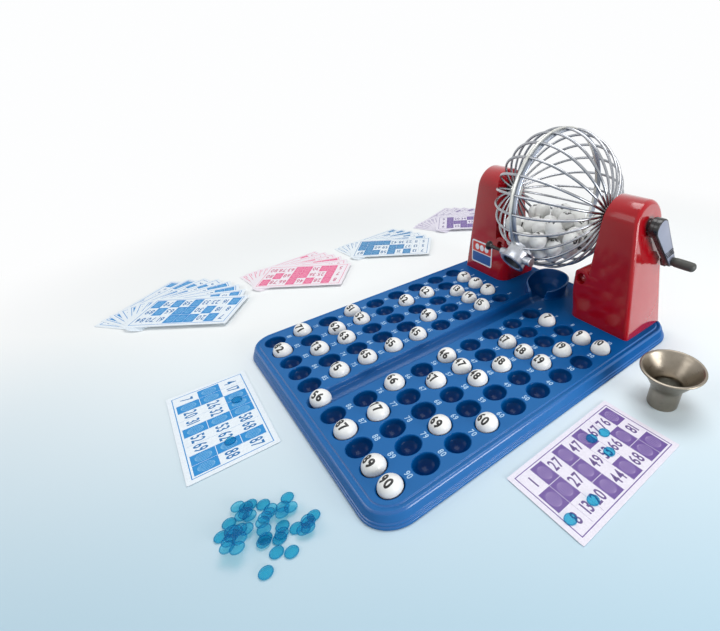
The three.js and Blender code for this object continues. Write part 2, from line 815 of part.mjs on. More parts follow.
add('drum_balls', makeHeap(), ballWhite(), ...atAxis);
add('rail_ball', makeBall(), ballWhite(), 0, nearRowY, deckHeight);
const drawnNumbers = [
  2, 3, 4, 7, 9, 10, 13, 14, 15, 19, 22, 27, 28, 29, 32, 34,
  38, 45, 46, 47, 48, 51, 52, 55, 57, 60, 62, 63, 65, 66, 69, 71,
];
drawnNumbers.forEach((number) => {
  add(`ball_${number}`, makeBall(), ballWhite(), ...pocketPlace(number), deckHeight);
});

add('blue_card', makeCard(), cardBlue(), blueCardX, trayFrontY - cardGap - cardWidth / 2, 0, blueCardTurn);
const purpleCardX = trayHalfWidth + cardGap + cardWidth / 2;
add('purple_card', makeCard(), cardPurple(), purpleCardX, purpleCardY, 0, purpleCardTurn);

const funnelY = purpleCardY + cardLength / 2 + funnelGap + funnelRimRadius;
add('funnel', makeFunnel(), funnelGrey(), trayHalfWidth + funnelOffset, funnelY, 0);

// The fans lie in a row to the left of the tray, the near one first.
const fanNames = ['near_blue_fan', 'pink_fan', 'far_blue_fan', 'purple_fan'];
const fanLooks = [cardBlue, cardPink, cardBlue, cardPurple];
const fanReach = Math.hypot(cardLength - fanPivotInset, cardWidth - fanPivotInset);
const fanDip = (k) => {
  const turn = THREE.MathUtils.degToRad(fanTopTurn + (fanCards[k] - 1) * fanStepDegrees[k]);
  return fanPivotInset * Math.sin(turn) - (cardWidth - fanPivotInset) * Math.cos(turn);
};
let fanY = firstFanY;
fanNames.forEach((name, k) => {
  fanY += k ? fanReach + fanDip(k) + fanClearance : 0;
  const fan = makeFan(fanCards[k], fanStepDegrees[k]);
  add(name, fan, fanLooks[k](), -trayHalfWidth - fanGap, fanY, 0, fanTopTurn);
});

const chipPileX = blueCardX + cardLength / 2 + chipPileOffset;
add('chip_pile', makeChips(), chipBlue(), chipPileX, trayFrontY - chipPileGap, 0);

export default game;
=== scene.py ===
import math
import random

import bmesh
import bpy
import numpy as np
from mathutils import Matrix, Vector
from mathutils.geometry import tessellate_polygon


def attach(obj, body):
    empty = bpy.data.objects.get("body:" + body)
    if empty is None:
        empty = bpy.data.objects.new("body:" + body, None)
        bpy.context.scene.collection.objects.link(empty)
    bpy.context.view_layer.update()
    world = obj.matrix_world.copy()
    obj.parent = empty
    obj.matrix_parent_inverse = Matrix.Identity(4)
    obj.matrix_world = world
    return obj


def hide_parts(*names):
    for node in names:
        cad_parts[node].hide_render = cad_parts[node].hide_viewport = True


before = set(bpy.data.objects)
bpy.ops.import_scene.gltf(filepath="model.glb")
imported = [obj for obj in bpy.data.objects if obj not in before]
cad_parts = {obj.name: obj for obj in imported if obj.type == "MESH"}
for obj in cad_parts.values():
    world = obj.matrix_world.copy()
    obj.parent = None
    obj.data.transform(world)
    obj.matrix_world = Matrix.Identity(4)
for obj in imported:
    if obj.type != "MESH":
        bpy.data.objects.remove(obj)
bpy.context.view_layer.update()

# Lengths are millimetres in the same frame as the model, and become metres when a mesh is made.
# The camera, the floor and the lights are given in metres.
MM = 0.001

BALL_RADIUS = 10
COLUMN_PITCH = 25.2
ROW_PITCH = 32.26
CENTRE_AISLE = 55.3
DECK = 14
DECK_STEP = 0.6
TRAY_HALF_WIDTH = 156.45
TRAY_HALF_LENGTH = 196.04
TRAY_CORNER = 30
TRAY_EDGE = 6
DECK_BORDER = 5
NEAR_ROW_Y = -168.04
POCKET_RADIUS = 10.9
POCKET_DEPTH = 10.3
RAIL_RADIUS = 10.8
RAIL_SPARE = 0.12
RAIL_END_Y = NEAR_ROW_Y - 2
AXIS_Y = 155.54
AXIS_Z = 128.06
CATCHER_Y = 147.54
CATCHER_RIM = 18
STAND_HALF_DEPTH = 34
ARCH_RADIUS = 24
AXIS_HEIGHT = AXIS_Z - DECK
STAND_INNER_X = 56.3
TOWER_INNER_X = 77.5
TOWER_LEAN = 4.5
STAND_OUTER_X = 139
STAND_TAPER = 20 / AXIS_HEIGHT
STAND_SUNK = 4
LOBE_RADIUS = 11
LOBE_HEIGHT = 48.5
WIRE_CENTRE = 75.8
WIRE_RADIUS = 1.42
DRUM_SQUASH = 71 / 77
OUTLET_PITCH = math.radians(36)


def new_object(name, data):
    made = bpy.data.objects.new(name, data)
    bpy.context.collection.objects.link(made)
    return made


# Camera

CAMERA_PLACE = (0.3157, -0.2316, 0.2739)
CAMERA_AZIMUTH = 51.484
CAMERA_ELEVATION = 36.987
CAMERA_ROLL = -2.402
CAMERA_SHIFT = (-0.1582, 0.0557)
SENSOR_WIDTH = 36
LENS_SHARE = 0.564
CLIP_RANGE = (0.01, 20)


def place_camera():
    azimuth, elevation, roll = (math.radians(a) for a in (CAMERA_AZIMUTH, CAMERA_ELEVATION, CAMERA_ROLL))
    forward = Vector((
        -math.sin(azimuth) * math.cos(elevation),
        math.cos(azimuth) * math.cos(elevation),
        -math.sin(elevation),
    ))
    right = forward.cross(Vector((0, 0, 1))).normalized()
    up = right.cross(forward)
    across = right * math.cos(roll) + up * math.sin(roll)
    upward = -right * math.sin(roll) + up * math.cos(roll)
    data = bpy.data.cameras.new("photo_camera")
    data.sensor_width = SENSOR_WIDTH
    data.lens = SENSOR_WIDTH * LENS_SHARE
    data.shift_x, data.shift_y = CAMERA_SHIFT
    data.clip_start, data.clip_end = CLIP_RANGE
    camera = new_object("photo_camera", data)
    turn = Matrix((across, upward, -forward)).transposed().to_4x4()
    camera.matrix_world = Matrix.Translation(CAMERA_PLACE) @ turn
    bpy.context.scene.camera = camera


place_camera()


# Mesh helpers

class Shape:
    """Points in millimetres, and faces with the number of their material."""

    def __init__(self):
        self.points = []
        self.faces = []
        self.looks = []

    def add(self, part, look=0):
        points, faces = part
        start = len(self.points)
        self.points.extend(tuple(point) for point in points)
        self.faces.extend(tuple(start + i for i in face) for face in faces)
        self.looks.extend([look] * len(faces))
        return self

    def take(self, other, matrix=Matrix()):
        """Adds another shape with its own looks."""
        looks = self.looks + other.looks
        self.add(moved((other.points, other.faces), matrix))
        self.looks = looks
        return self


def moved(part, matrix):
    points, faces = part
    return [matrix @ Vector(point) for point in points], faces


def flipped(part):
    points, faces = part
    return points, [tuple(reversed(face)) for face in faces]


def mirrored(part):
    points, faces = part
    return flipped(([(-point[0], point[1], point[2]) for point in points], faces))


def shift(x=0.0, y=0.0, z=0.0):
    return Matrix.Translation((x, y, z))


def spin(degrees, axis):
    return Matrix.Rotation(math.radians(degrees), 4, axis)


ALONG_X = spin(90, "Y")
AXLE = shift(0, AXIS_Y, AXIS_Z)
OUTLET = AXLE @ spin(126, "X")


def spaced(first, last, steps):
    """Evenly spaced values from the first to the last."""
    return [first + (last - first) * k / steps for k in range(steps + 1)]


def arc(radius, first, last, steps, x=0, y=0):
    """Points round (x, y) from one angle to another."""
    return [(x + radius * math.cos(a), y + radius * math.sin(a)) for a in spaced(first, last, steps)]


def circle(radius, steps, x=0, y=0):
    return arc(radius, 0, 2 * math.pi, steps, x, y)[:-1]


def rounded(path, radius, steps=4):
    """The open path with its corners rounded. The radius is one number or one for each point."""
    points = [Vector(p) for p in path]
    result = [points[0]]
    for k in range(1, len(points) - 1):
        here = points[k]
        size = radius[k] if isinstance(radius, (list, tuple)) else radius
        back, ahead = points[k - 1] - here, points[k + 1] - here
        reach = min(size, back.length * 0.48, ahead.length * 0.48)
        start = here + back.normalized() * reach
        end = here + ahead.normalized() * reach
        for t in spaced(0, 1, steps) if size else [0]:
            result.append(start * (1 - t) ** 2 + here * (2 * t * (1 - t)) + end * t * t)
    result.append(points[-1])
    return [tuple(p) for p in result]


def skin(rings, closed=True, capped=False):
    """Quads between rings of equal length. capped closes both ends with a flat face."""
    count = len(rings[0])
    points = [point for ring in rings for point in ring]
    faces = []
    spans = count if closed else count - 1
    for level in range(len(rings) - 1):
        low, high = level * count, (level + 1) * count
        for k in range(spans):
            n = (k + 1) % count
            faces.append((low + k, low + n, high + n, high + k))
    if capped:
        faces.append(tuple(reversed(range(count))))
        faces.append(tuple((len(rings) - 1) * count + k for k in range(count)))
    return points, faces


def lathe(profile, segments=48):
    """A turned surface about Z. A profile that rises on the outside faces outwards."""
    points, rings, faces = [], [], []
    for radius, height in profile:
        start = len(points)
        if radius < 1e-6:
            points.append((0, 0, height))
            rings.append([start] * segments)
        else:
            points += [(x, y, height) for x, y in circle(radius, segments)]
            rings.append([start + k for k in range(segments)])
    for low, high in zip(rings, rings[1:]):
        for k in range(segments):
            n = (k + 1) % segments
            corners = tuple(dict.fromkeys((low[k], low[n], high[n], high[k])))
            if len(corners) > 2:
                faces.append(corners)
    return points, faces


def turned(profile, radius, segments, steps=3):
    """A turned surface whose profile has its corners rounded."""
    return lathe(rounded(profile, radius, steps), segments)


def tube(path, radius, side, segments):
    """A round tube along a flat path, whose plane is square to side."""
    rings = []
    for k, here in enumerate(path):
        ahead, behind = path[min(k + 1, len(path) - 1)], path[max(k - 1, 0)]
        out = side.cross((ahead - behind).normalized()).normalized()
        rings.append([here + (out * across + side * up) * radius for across, up in circle(1, segments)])
    return skin(rings, capped=True)


def round_corners(x, y, half_x, half_y, radius, z, steps):
    """A rectangle round (x, y) with round corners, from its right side on."""
    ring = []
    for corner, (sx, sy) in enumerate(((1, 1), (-1, 1), (-1, -1), (1, -1))):
        middle = x + sx * (half_x - radius), y + sy * (half_y - radius)
        ring += arc(radius, corner * math.pi / 2, (corner + 1) * math.pi / 2, steps, *middle)
    return [(x, y, z) for x, y in ring]


def rounded_plate(x0, y0, x1, y1, radius, z0, z1, edge=0.12):
    """A flat plate with round corners. edge is the bevel round its top."""
    middle, half = ((x0 + x1) / 2, (y0 + y1) / 2), ((x1 - x0) / 2, (y1 - y0) / 2)
    rings = [
        round_corners(*middle, half[0] - inset, half[1] - inset, max(radius - inset, 0.05), z, 6)
        for inset, z in ((0, z0), (0, z1 - edge), (edge, z1))
    ]
    return skin(rings, capped=True)


def welded(mesh, distance):
    """Joins points closer than this and turns all faces outwards."""
    bm = bmesh.new()
    bm.from_mesh(mesh)
    bmesh.ops.remove_doubles(bm, verts=bm.verts, dist=distance)
    bmesh.ops.recalc_face_normals(bm, faces=bm.faces)
    bm.to_mesh(mesh)
    bm.free()


def piece(name, shape, body, looks, replaces=None, slot=None, sharp=38, weld=False):
    """One object of the scene, from a shape or a part. sharp is the least angle of an edge that shows."""
    shape = shape if isinstance(shape, Shape) else Shape().add(shape)
    mesh = bpy.data.meshes.new(name)
    mesh.from_pydata([Vector(p) * MM for p in shape.points], [], shape.faces)
    for look in looks:
        mesh.materials.append(look)
    mesh.polygons.foreach_set("material_index", shape.looks)
    mesh.polygons.foreach_set("use_smooth", [True] * len(shape.faces))
    if weld:
        welded(mesh, 1e-6)
    mesh.update()
    mesh.set_sharp_from_angle(angle=math.radians(sharp))
    made = new_object(name, mesh)
    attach(made, body)
    if replaces:
        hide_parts(replaces)


def evaluated(thing):
    """The points in metres and the faces that the object comes to. The object is removed."""
    bpy.context.view_layer.update()
    mesh = bpy.data.meshes.new_from_object(thing.evaluated_get(bpy.context.evaluated_depsgraph_get()))
    points, faces = [v.co.copy() for v in mesh.vertices], [tuple(p.vertices) for p in mesh.polygons]
    bpy.data.meshes.remove(mesh)
    bpy.data.objects.remove(thing)
    return points, faces


# Materials

def srgb(red, green, blue):
    def linear(value):
        share = value / 255
        return share / 12.92 if share <= 0.04045 else ((share + 0.055) / 1.055) ** 2.4
    return (linear(red), linear(green), linear(blue), 1)


def add_node(tree, kind, *values, output=None, setup=(), **named):
    """Adds a node and gives its result. Its inputs are filled in order or by name, by values or results."""
    node = tree.nodes.new(f"ShaderNode{kind}")
    for key, value in dict(setup).items():
        setattr(node, key, value)
    for key, value in [*enumerate(values), *named.items()]:
        fill(tree, node.inputs[key], value)
    return node.outputs[output] if output else next(socket for socket in node.outputs if socket.enabled)


def fill(tree, socket, value):
    if isinstance(value, bpy.types.NodeSocket):
        tree.links.new(value, socket)
    else:
        socket.default_value = value


class Look:
    """A material with its shader and short ways to add nodes."""

    def __init__(self, name):
        self.material = bpy.data.materials.new(name)
        self.material.use_nodes = True
        self.tree = self.material.node_tree
        self.shader = self.tree.nodes["Principled BSDF"]
        self.place = self.add("TexCoord", output="Object")

    def add(self, kind, *values, **named):
        return add_node(self.tree, kind, *values, **named)

    def set(self, **values):
        for key, value in values.items():
            fill(self.tree, self.shader.inputs[key.replace("_", " ")], value)

    def show(self, surface):
        self.tree.links.new(surface, self.tree.nodes["Material Output"].inputs["Surface"])

    def noise(self, scale, detail=2.0, rough=0.5, vector=None):
        return self.add("TexNoise", Vector=vector or self.place, Scale=scale, Detail=detail, Roughness=rough)

    def spread(self, value, low, high):
        """A noise's values spread out between two numbers."""
        return self.add("MapRange", value, 0.3, 0.7, low, high)

    def mix(self, share, first, second):
        return self.add("Mix", setup={"data_type": "RGBA"}, Factor=share, A=first, B=second)

    def tint(self, share, first, second):
        self.set(Base_Color=self.mix(share, first, second))

    def rough(self, value, low, high):
        self.set(Roughness=self.spread(value, low, high))

    def bump(self, value, strength, distance):
        self.set(Normal=self.add("Bump", Strength=strength, Distance=distance, Height=value))

    def shade_to(self, colour, axis, start, end):
        """Shades the colour over to another between two places along an axis; it carries the painted shade
        and the painted sheen.
        """
        along = self.add("SeparateXYZ", self.place, output=axis)
        share = self.add("MapRange", along, start * MM, end * MM)
        self.tint(share, self.shader.inputs["Base Color"].links[0].from_socket, srgb(*colour))


# Along Y, where the painted sheen at the player's end begins and where it is full.
PAINTED_SHEEN_Y = (78, -4)
# Down the hollows, where the painted shade begins and where it is full.
PAINTED_SHADE_Z = (DECK - 0.5, DECK - 9)
MOTTLE_SCALE = 22
SMEAR_SCALE = 160
GRAIN_STRENGTH = 0.35
COAT_ROUGHNESS = 0.06
GLOSS_FACING = (0.15, 0.6)


def plastic(
    name, first, second, roughness, grain, depth,
    coat=0.0, coat_ior=1.5, shine=0.5, painted_hollow_shade=None, near=None, gloss=None,
):
    """Moulded plastic. The colour given for the bottom of hollows is painted shade, the one for the player's
    end a painted sheen, and gloss is the weight of a clear coat face on and edge on."""
    look = Look(name)
    look.tint(look.spread(look.noise(MOTTLE_SCALE, 3), 0, 1), srgb(*first), srgb(*second))
    # The blue pales towards the player's end: a painted sheen.
    if near:
        look.shade_to(near, "Y", *PAINTED_SHEEN_Y)
    # The blue darkens towards the bottom of hollows: painted shade.
    if painted_hollow_shade:
        look.shade_to(painted_hollow_shade, "Z", *PAINTED_SHADE_Z)
    look.rough(look.noise(SMEAR_SCALE, 3), *roughness)
    look.bump(look.noise(grain, 3), GRAIN_STRENGTH, depth)
    look.set(Specular_IOR_Level=shine, Coat_Weight=coat, Coat_Roughness=COAT_ROUGHNESS, Coat_IOR=coat_ior)
    if gloss:
        facing = look.add("LayerWeight", output="Facing")
        look.set(Coat_Weight=look.add("MapRange", facing, *GLOSS_FACING, *gloss))
    return look.material


def metal(name, first, second, roughness, streak, depth, stretch=(1, 1, 1)):
    look = Look(name)
    vector = look.add("Mapping", Vector=look.place, Scale=stretch)
    look.set(Metallic=1.0)
    look.tint(look.spread(look.noise(60, 4), 0, 1), srgb(*first), srgb(*second))
    look.rough(look.noise(streak, 4, 0.6, vector), *roughness)
    look.bump(look.noise(streak, 3, 0.6, vector), 0.3, depth)
    return look.material


def print_ink(name, colour):
    look = Look(name)
    first = srgb(*colour)
    second = tuple(min(1, c * 1.12 + 0.01) for c in first[:3]) + (1,)
    look.tint(look.spread(look.noise(900, 2), 0, 1), first, second)
    look.rough(look.noise(500, 2), 0.42, 0.6)
    return look.material


# The deck pales towards the player's end as a painted sheen.
tray_blue = plastic(
    "tray_blue", (2, 76, 140), (6, 84, 148), (0.3, 0.4), 1500, 0.00004, shine=0.04, near=(46, 106, 168),
)
# The pockets darken towards their bottoms as painted shade.
hollow_blue = plastic(
    "hollow_blue", (2, 74, 138), (4, 82, 146), (0.12, 0.2), 1500, 0.00002, shine=0.07, painted_hollow_shade=(0, 42, 96),
)
# The trough pales towards the player's end as a painted sheen.
trough_blue = plastic(
    "trough_blue", (2, 74, 140), (6, 82, 148), (0.18, 0.26), 1500, 0.00002, shine=0.13, near=(36, 98, 162),
)
# Paler blue for faces that catch the light: the paler colour is a painted highlight, the extra gloss is real.
painted_highlight_blue = plastic("painted_highlight_blue", (24, 92, 160), (30, 100, 168), (0.16, 0.24), 1500, 0.00003, shine=0.55)
stand_red = plastic(
    "stand_red", (162, 8, 22), (170, 12, 26), (0.1, 0.17), 900, 0.00001, shine=0.3, gloss=(0.03, 0.85),
)
side_red = plastic("side_red", (166, 8, 22), (174, 12, 26), (0.12, 0.2), 900, 0.00001, coat=1.0, coat_ior=1.9)
ball_white = plastic("ball_white", (228, 229, 228), (238, 239, 236), (0.3, 0.42), 700, 0.00003)
crank_black = plastic("crank_black", (16, 16, 18), (26, 26, 29), (0.18, 0.3), 1200, 0.00003)
crank_face = plastic("crank_face", (136, 142, 160), (152, 158, 176), (0.3, 0.42), 1600, 0.00004)
grip_grey = plastic("grip_grey", (48, 50, 47), (66, 68, 63), (0.45, 0.62), 1300, 0.0003)
wire_steel = metal("wire_steel", (172, 174, 178), (146, 149, 155), (0.16, 0.28), 300, 0.00002)
band_pale = metal("band_pale", (214, 214, 208), (194, 195, 192), (0.28, 0.4), 300, 0.00002)
band_grey = metal("band_grey", (164, 171, 184), (146, 154, 168), (0.28, 0.4), 300, 0.00002)
cast_silver = metal("cast_silver", (190, 193, 198), (162, 167, 176), (0.24, 0.44), 120, 0.0003)
# Darker metal for the inside of the outlet's tube: painted shade.
painted_bore_shade = metal("painted_bore_shade", (96, 101, 110), (78, 83, 92), (0.34, 0.48), 200, 0.00005)
turned_steel = metal("turned_steel", (190, 190, 190), (170, 170, 172), (0.2, 0.3), 60, 0.00003, (40, 1, 1))
funnel_metal = metal("funnel_metal", (150, 142, 130), (128, 120, 108), (0.26, 0.42), 70, 0.0001, (1, 1, 14))
digit_black = print_ink("digit_black", (10, 10, 12))
digit_white = print_ink("digit_white", (160, 194, 224))
label_white = print_ink("label_white", (232, 236, 240))
sticker_red = print_ink("sticker_red", (206, 48, 38))
sticker_blue = print_ink("sticker_blue", (16, 84, 156))

# Each hue's paper and its inks: the full cells, the lines on them and the digits.
INK_USES = ("paper", "cell", "line", "digit")
CARD_COLOURS = {
    "blue": ((226, 235, 243), (6, 132, 200), (150, 202, 230), (12, 108, 170)),
    "pale": ((228, 236, 242), (20, 118, 176), (150, 196, 222), (20, 100, 152)),
    "pink": ((234, 228, 235), (222, 96, 142), (242, 184, 206), (190, 84, 124)),
    "purple": ((222, 219, 231), (96, 70, 142), (176, 160, 202), (88, 66, 126)),
}
inks = {
    hue: [print_ink(f"{hue}_card_{use}", colour) for use, colour in zip(INK_USES, colours)]
    for hue, colours in CARD_COLOURS.items()
}


def chip_look(name, first, second, through, share):
    """Clear tinted plastic. share is how much of it is cloudy, and through is what the rest lets through."""
    look = Look(name)
    look.tint(look.spread(look.noise(300, 2), 0, 1), srgb(*first), srgb(*second))
    look.rough(look.noise(400, 2), 0.12, 0.24)
    look.bump(look.noise(500, 2), 0.2, 0.00003)
    look.set(IOR=1.45)
    clear = look.add("BsdfTransparent", through)
    look.show(look.add("MixShader", share, clear, look.shader.outputs["BSDF"]))
    return look.material


chip_clear = chip_look("chip_clear", (56, 146, 216), (70, 160, 226), (0.54, 0.91, 0.94, 1), 0.13)
chip_rim = chip_look("chip_rim", (14, 110, 176), (24, 120, 186), (0.4, 0.8, 0.86, 1), 0.32)


# Digits

STROKE = 0.02
BALL_STROKE = 0.042
FINE_EDGE = 0.14
MOST_CUTS = 5
DIGIT_GAP = 0.1
POCKET_NARROW = 0.9
BALL_NARROW = 0.84
CARD_NARROW = 0.62


def glyphs(weight):
    """Each digit's flat mesh. weight thickens its strokes."""
    made = {}
    for digit in "0123456789":
        curve = bpy.data.curves.new("glyph", "FONT")
        curve.body = digit
        curve.offset = weight
        curve.resolution_u = 4
        points, faces = evaluated(new_object("glyph", curve))
        bpy.data.curves.remove(curve)
        made[digit] = [(p.x, p.y) for p in points], faces
    return made


def split_fine(points, faces, limit):
    """The flat faces cut into triangles with no edge longer than limit."""
    bm = bmesh.new()
    corners = [bm.verts.new((x, y, 0)) for x, y in points]
    for face in faces:
        bm.faces.new([corners[i] for i in face])
    bmesh.ops.remove_doubles(bm, verts=bm.verts, dist=1e-5)
    bmesh.ops.triangulate(bm, faces=bm.faces)
    for _ in range(MOST_CUTS):
        long_edges = [edge for edge in bm.edges if edge.calc_length() > limit]
        if not long_edges:
            break
        bmesh.ops.subdivide_edges(bm, edges=long_edges, cuts=1)
        bmesh.ops.triangulate(bm, faces=bm.faces)
    bm.verts.index_update()
    result = [(v.co.x, v.co.y) for v in bm.verts], [tuple(v.index for v in f.verts) for f in bm.faces]
    bm.free()
    return result


GLYPHS = glyphs(STROKE)
FINE_GLYPHS = {digit: split_fine(*glyph, FINE_EDGE) for digit, glyph in glyphs(BALL_STROKE).items()}
GLYPH_HEIGHT = max(y for x, y in GLYPHS["0"][0]) - min(y for x, y in GLYPHS["0"][0])


def number_flat(number, height, narrow=1.0, fine=False):
    """The number's digits as flat points and faces round the origin."""
    source = FINE_GLYPHS if fine else GLYPHS
    scale = height / GLYPH_HEIGHT
    points, faces, cursor = [], [], 0.0
    for digit in str(number):
        flat, tris = source[digit]
        low = min(x for x, y in flat)
        high = max(x for x, y in flat)
        start = len(points)
        points.extend(((x - low + cursor) * scale * narrow, y * scale) for x, y in flat)
        faces.extend(tuple(start + i for i in face) for face in tris)
        cursor += high - low + DIGIT_GAP
    middle_x = (max(x for x, y in points) + min(x for x, y in points)) / 2
    middle_y = (max(y for x, y in points) + min(y for x, y in points)) / 2
    return [(x - middle_x, y - middle_y) for x, y in points], faces


def number_at(number, height, matrix, narrow=1.0):
    points, faces = number_flat(number, height, narrow)
    return [matrix @ Vector((x, y, 0)) for x, y in points], faces


# Tray

NUMBERS = range(1, 91)
ROWS = 9
COLUMNS = 10


def pocket_place(number):
    """Rows of ten run from the drum to the player, with the aisle after the fifth pocket."""
    row, column = divmod(number - 1, COLUMNS)
    half = COLUMNS // 2
    side, steps = (1, column - half) if column >= half else (-1, column - half + 1)
    return side * CENTRE_AISLE / 2 + steps * COLUMN_PITCH, NEAR_ROW_Y + (ROWS - 1 - row) * ROW_PITCH


def tray_ring(inset, z):
    radius = max(TRAY_CORNER - inset, 2)
    return round_corners(0, 0, TRAY_HALF_WIDTH - inset, TRAY_HALF_LENGTH - inset, radius, z, 14)


RIM_FILLET = 0.9
RAIL_LIP = 1.6
RAIL_EDGE = RAIL_RADIUS + RAIL_LIP * 0.55
CATCHER_INNER = 26.2
CATCHER_FOOT = 24
CATCHER_FLARE = 4.2
PATCH_RADIUS = 28.7
UNDERSIDE = 12.2
CUP_RADIUS = POCKET_RADIUS + 2.2
CHANNEL_HALF = 12.6
WELL_RADIUS = 26.4
PATCH_STEPS = 170
POCKET_TURNS = 48
SLOT_END_STEPS = 24
TROUGH_STEPS = 26
TROUGH_END_STEPS = 32
TROUGH_BLEND = 6


def pocket_profile():
    """A pocket's fillet and its bowl, as radius and height over the deck."""
    path = []
    for a in spaced(0, math.pi / 2, 4):
        path.append((POCKET_RADIUS + RIM_FILLET * (1 - math.sin(a)), -RIM_FILLET * (1 - math.cos(a))))
    for a in spaced(0, math.pi / 2, 12)[1:]:
        path.append((POCKET_RADIUS * math.cos(a), -RIM_FILLET - (POCKET_DEPTH - RIM_FILLET) * math.sin(a)))
    return path


def rail_depth(distance):
    """How far the trough lies under the deck at this distance from its centre line."""
    if distance >= RAIL_EDGE:
        return 0.0
    start = RAIL_RADIUS - RAIL_LIP * 0.45
    wall = math.sqrt((RAIL_RADIUS + RAIL_SPARE) ** 2 - min(distance, start) ** 2)
    if distance <= start:
        return wall
    share = (distance - start) / (RAIL_EDGE - start)
    return wall * (1 - share) ** 2


def rail_profile():
    """Distances from the trough's centre line, closer together towards its edge."""
    shares = [1 - math.cos(a) for a in spaced(0, math.pi / 2, TROUGH_STEPS)]
    return [round(RAIL_EDGE * math.sin(share * math.pi / 2), 4) for share in shares]


def smooth_step(t):
    t = min(1.0, max(0.0, t))
    return t * t * (3 - 2 * t)


# How the bowl's wall rises from the trough's mouth: a share of its height, and between which degrees.
CATCHER_SWEEP = (0.64, 33, 45), (0.36, 40, 140)


def catcher_rim(front):
    """The wall's height over the deck at an angle from the player's side."""
    around = math.degrees(math.acos(math.cos(front)))
    rise = sum(share * smooth_step((around - low) / (high - low)) for share, low, high in CATCHER_SWEEP)
    return CATCHER_RIM * rise


# The bowl's inner wall, as shares of its radius and of its height.
INSIDE_RADIUS_SHARES = (0.0, 0.14, 0.32, 0.53, 0.76, 0.9, 1.0)
INSIDE_HEIGHT_SHARES = (-0.61, -0.61, -0.52, -0.26, 0.0, 0.42, 1.0)


def catcher_inner(height):
    """The bowl's inner radius at a height over the deck."""
    return CATCHER_INNER * float(np.interp(height / CATCHER_RIM, INSIDE_HEIGHT_SHARES, INSIDE_RADIUS_SHARES))


# How many faces the bowl's wall has up its inside, round its lip and down its outside.
CATCHER_WALL = 14
CATCHER_LIP = 8
CATCHER_OUTSIDE = 12
CATCHER_ROOT = 1.6
CATCHER_BORDER = 1.9


def catcher_line(front):
    """From the bowl's middle up over the lip and down the outside to the deck."""
    height = catcher_rim(front)
    shares = zip(INSIDE_RADIUS_SHARES, INSIDE_HEIGHT_SHARES)
    path = rounded([(CATCHER_INNER * across, CATCHER_RIM * up) for across, up in shares if up <= 0], 4, 5)
    for step in range(1, CATCHER_WALL + 1):
        up = height * step / CATCHER_WALL
        path.append((catcher_inner(up), up))
    inner = catcher_inner(height)
    outer = CATCHER_FOOT + CATCHER_FLARE * height / CATCHER_RIM
    lip = min(1.0, height / 2)
    for step in range(1, CATCHER_LIP):
        angle = math.pi * step / CATCHER_LIP
        radius = (inner + outer) / 2 - (outer - inner) / 2 * math.cos(angle)
        path.append((radius, height + lip * math.sin(angle)))
    down = CATCHER_OUTSIDE - 2
    for step in range(down + 1):
        up = height * (1 - step / down)
        path.append((CATCHER_FOOT + CATCHER_FLARE * up / CATCHER_RIM + CATCHER_ROOT * (step / down) ** 4, up))
    return path + [(PATCH_RADIUS - CATCHER_BORDER, 0), (PATCH_RADIUS, 0)]


def kept(part, test):
    """The part with only the faces whose middles pass the test."""
    points, faces = part
    middles = [[sum(points[i][axis] for i in face) / len(face) for axis in range(3)] for face in faces]
    return points, [face for face, middle in zip(faces, middles) if test(*middle)]


def catcher_patch():
    """The round patch of deck with the bowl in it, cut through by the trough at the front."""
    half = [math.asin(x / PATCH_RADIUS) for x in rail_profile()]
    turns = [-angle for angle in reversed(half)][:-1] + half
    turns += spaced(half[-1], 2 * math.pi - half[-1], PATCH_STEPS)[1:-1]
    rings = []
    for front in turns:
        turn = front - math.pi / 2
        ring = []
        for radius, z in catcher_line(front):
            x, y = radius * math.cos(turn), radius * math.sin(turn)
            if y < 0 and abs(x) < RAIL_EDGE:
                depth = -rail_depth(abs(x))
                z += (min(z, depth) - z) * smooth_step(-y / TROUGH_BLEND)
            ring.append((x, CATCHER_Y + y, DECK + z))
        rings.append(ring)
    rings.append(rings[0])
    return flipped(skin(rings, closed=False))


def deck_face(inset, z, pocket, edge, bowl):
    """The flat sheet round the pockets, the trough and the bowl, which have these radii or half widths."""
    outline = [(x, y) for x, y, _ in tray_ring(inset, z)]
    holes = [circle(pocket, POCKET_TURNS, *pocket_place(number)) for number in NUMBERS]
    meet = math.asin(edge / bowl)
    slot = arc(bowl, meet - math.pi / 2, math.pi * 1.5 - meet, PATCH_STEPS, 0, CATCHER_Y)
    slot += arc(edge, math.pi, 2 * math.pi, SLOT_END_STEPS, 0, RAIL_END_Y)
    loops = [[Vector((x, y, 0)) for x, y in loop] for loop in (outline, *holes, slot)]
    flat = [point for loop in loops for point in loop]
    faces = []
    for a, b, c in tessellate_polygon(loops):
        area = (flat[b] - flat[a]).cross(flat[c] - flat[a]).z
        if abs(area) > 1e-9:
            faces.append((a, b, c) if area > 0 else (a, c, b))
    return [(p.x, p.y, z) for p in flat], faces


def rail_parts():
    """The trough's straight run and its round end near the player."""
    half = rail_profile()
    line = [-x for x in reversed(half)][:-1] + half
    rings = []
    for x in line:
        z = DECK - rail_depth(abs(x))
        far = CATCHER_Y - math.sqrt(PATCH_RADIUS ** 2 - x * x)
        rings.append([(x, far, z), (x, RAIL_END_Y, z)])
    end_rings = [
        [(r * math.cos(a), RAIL_END_Y + r * math.sin(a), DECK - rail_depth(r)) for r in half]
        for a in spaced(math.pi, 2 * math.pi, TROUGH_END_STEPS)
    ]
    return skin(rings, closed=False), flipped(skin(end_rings, closed=False))


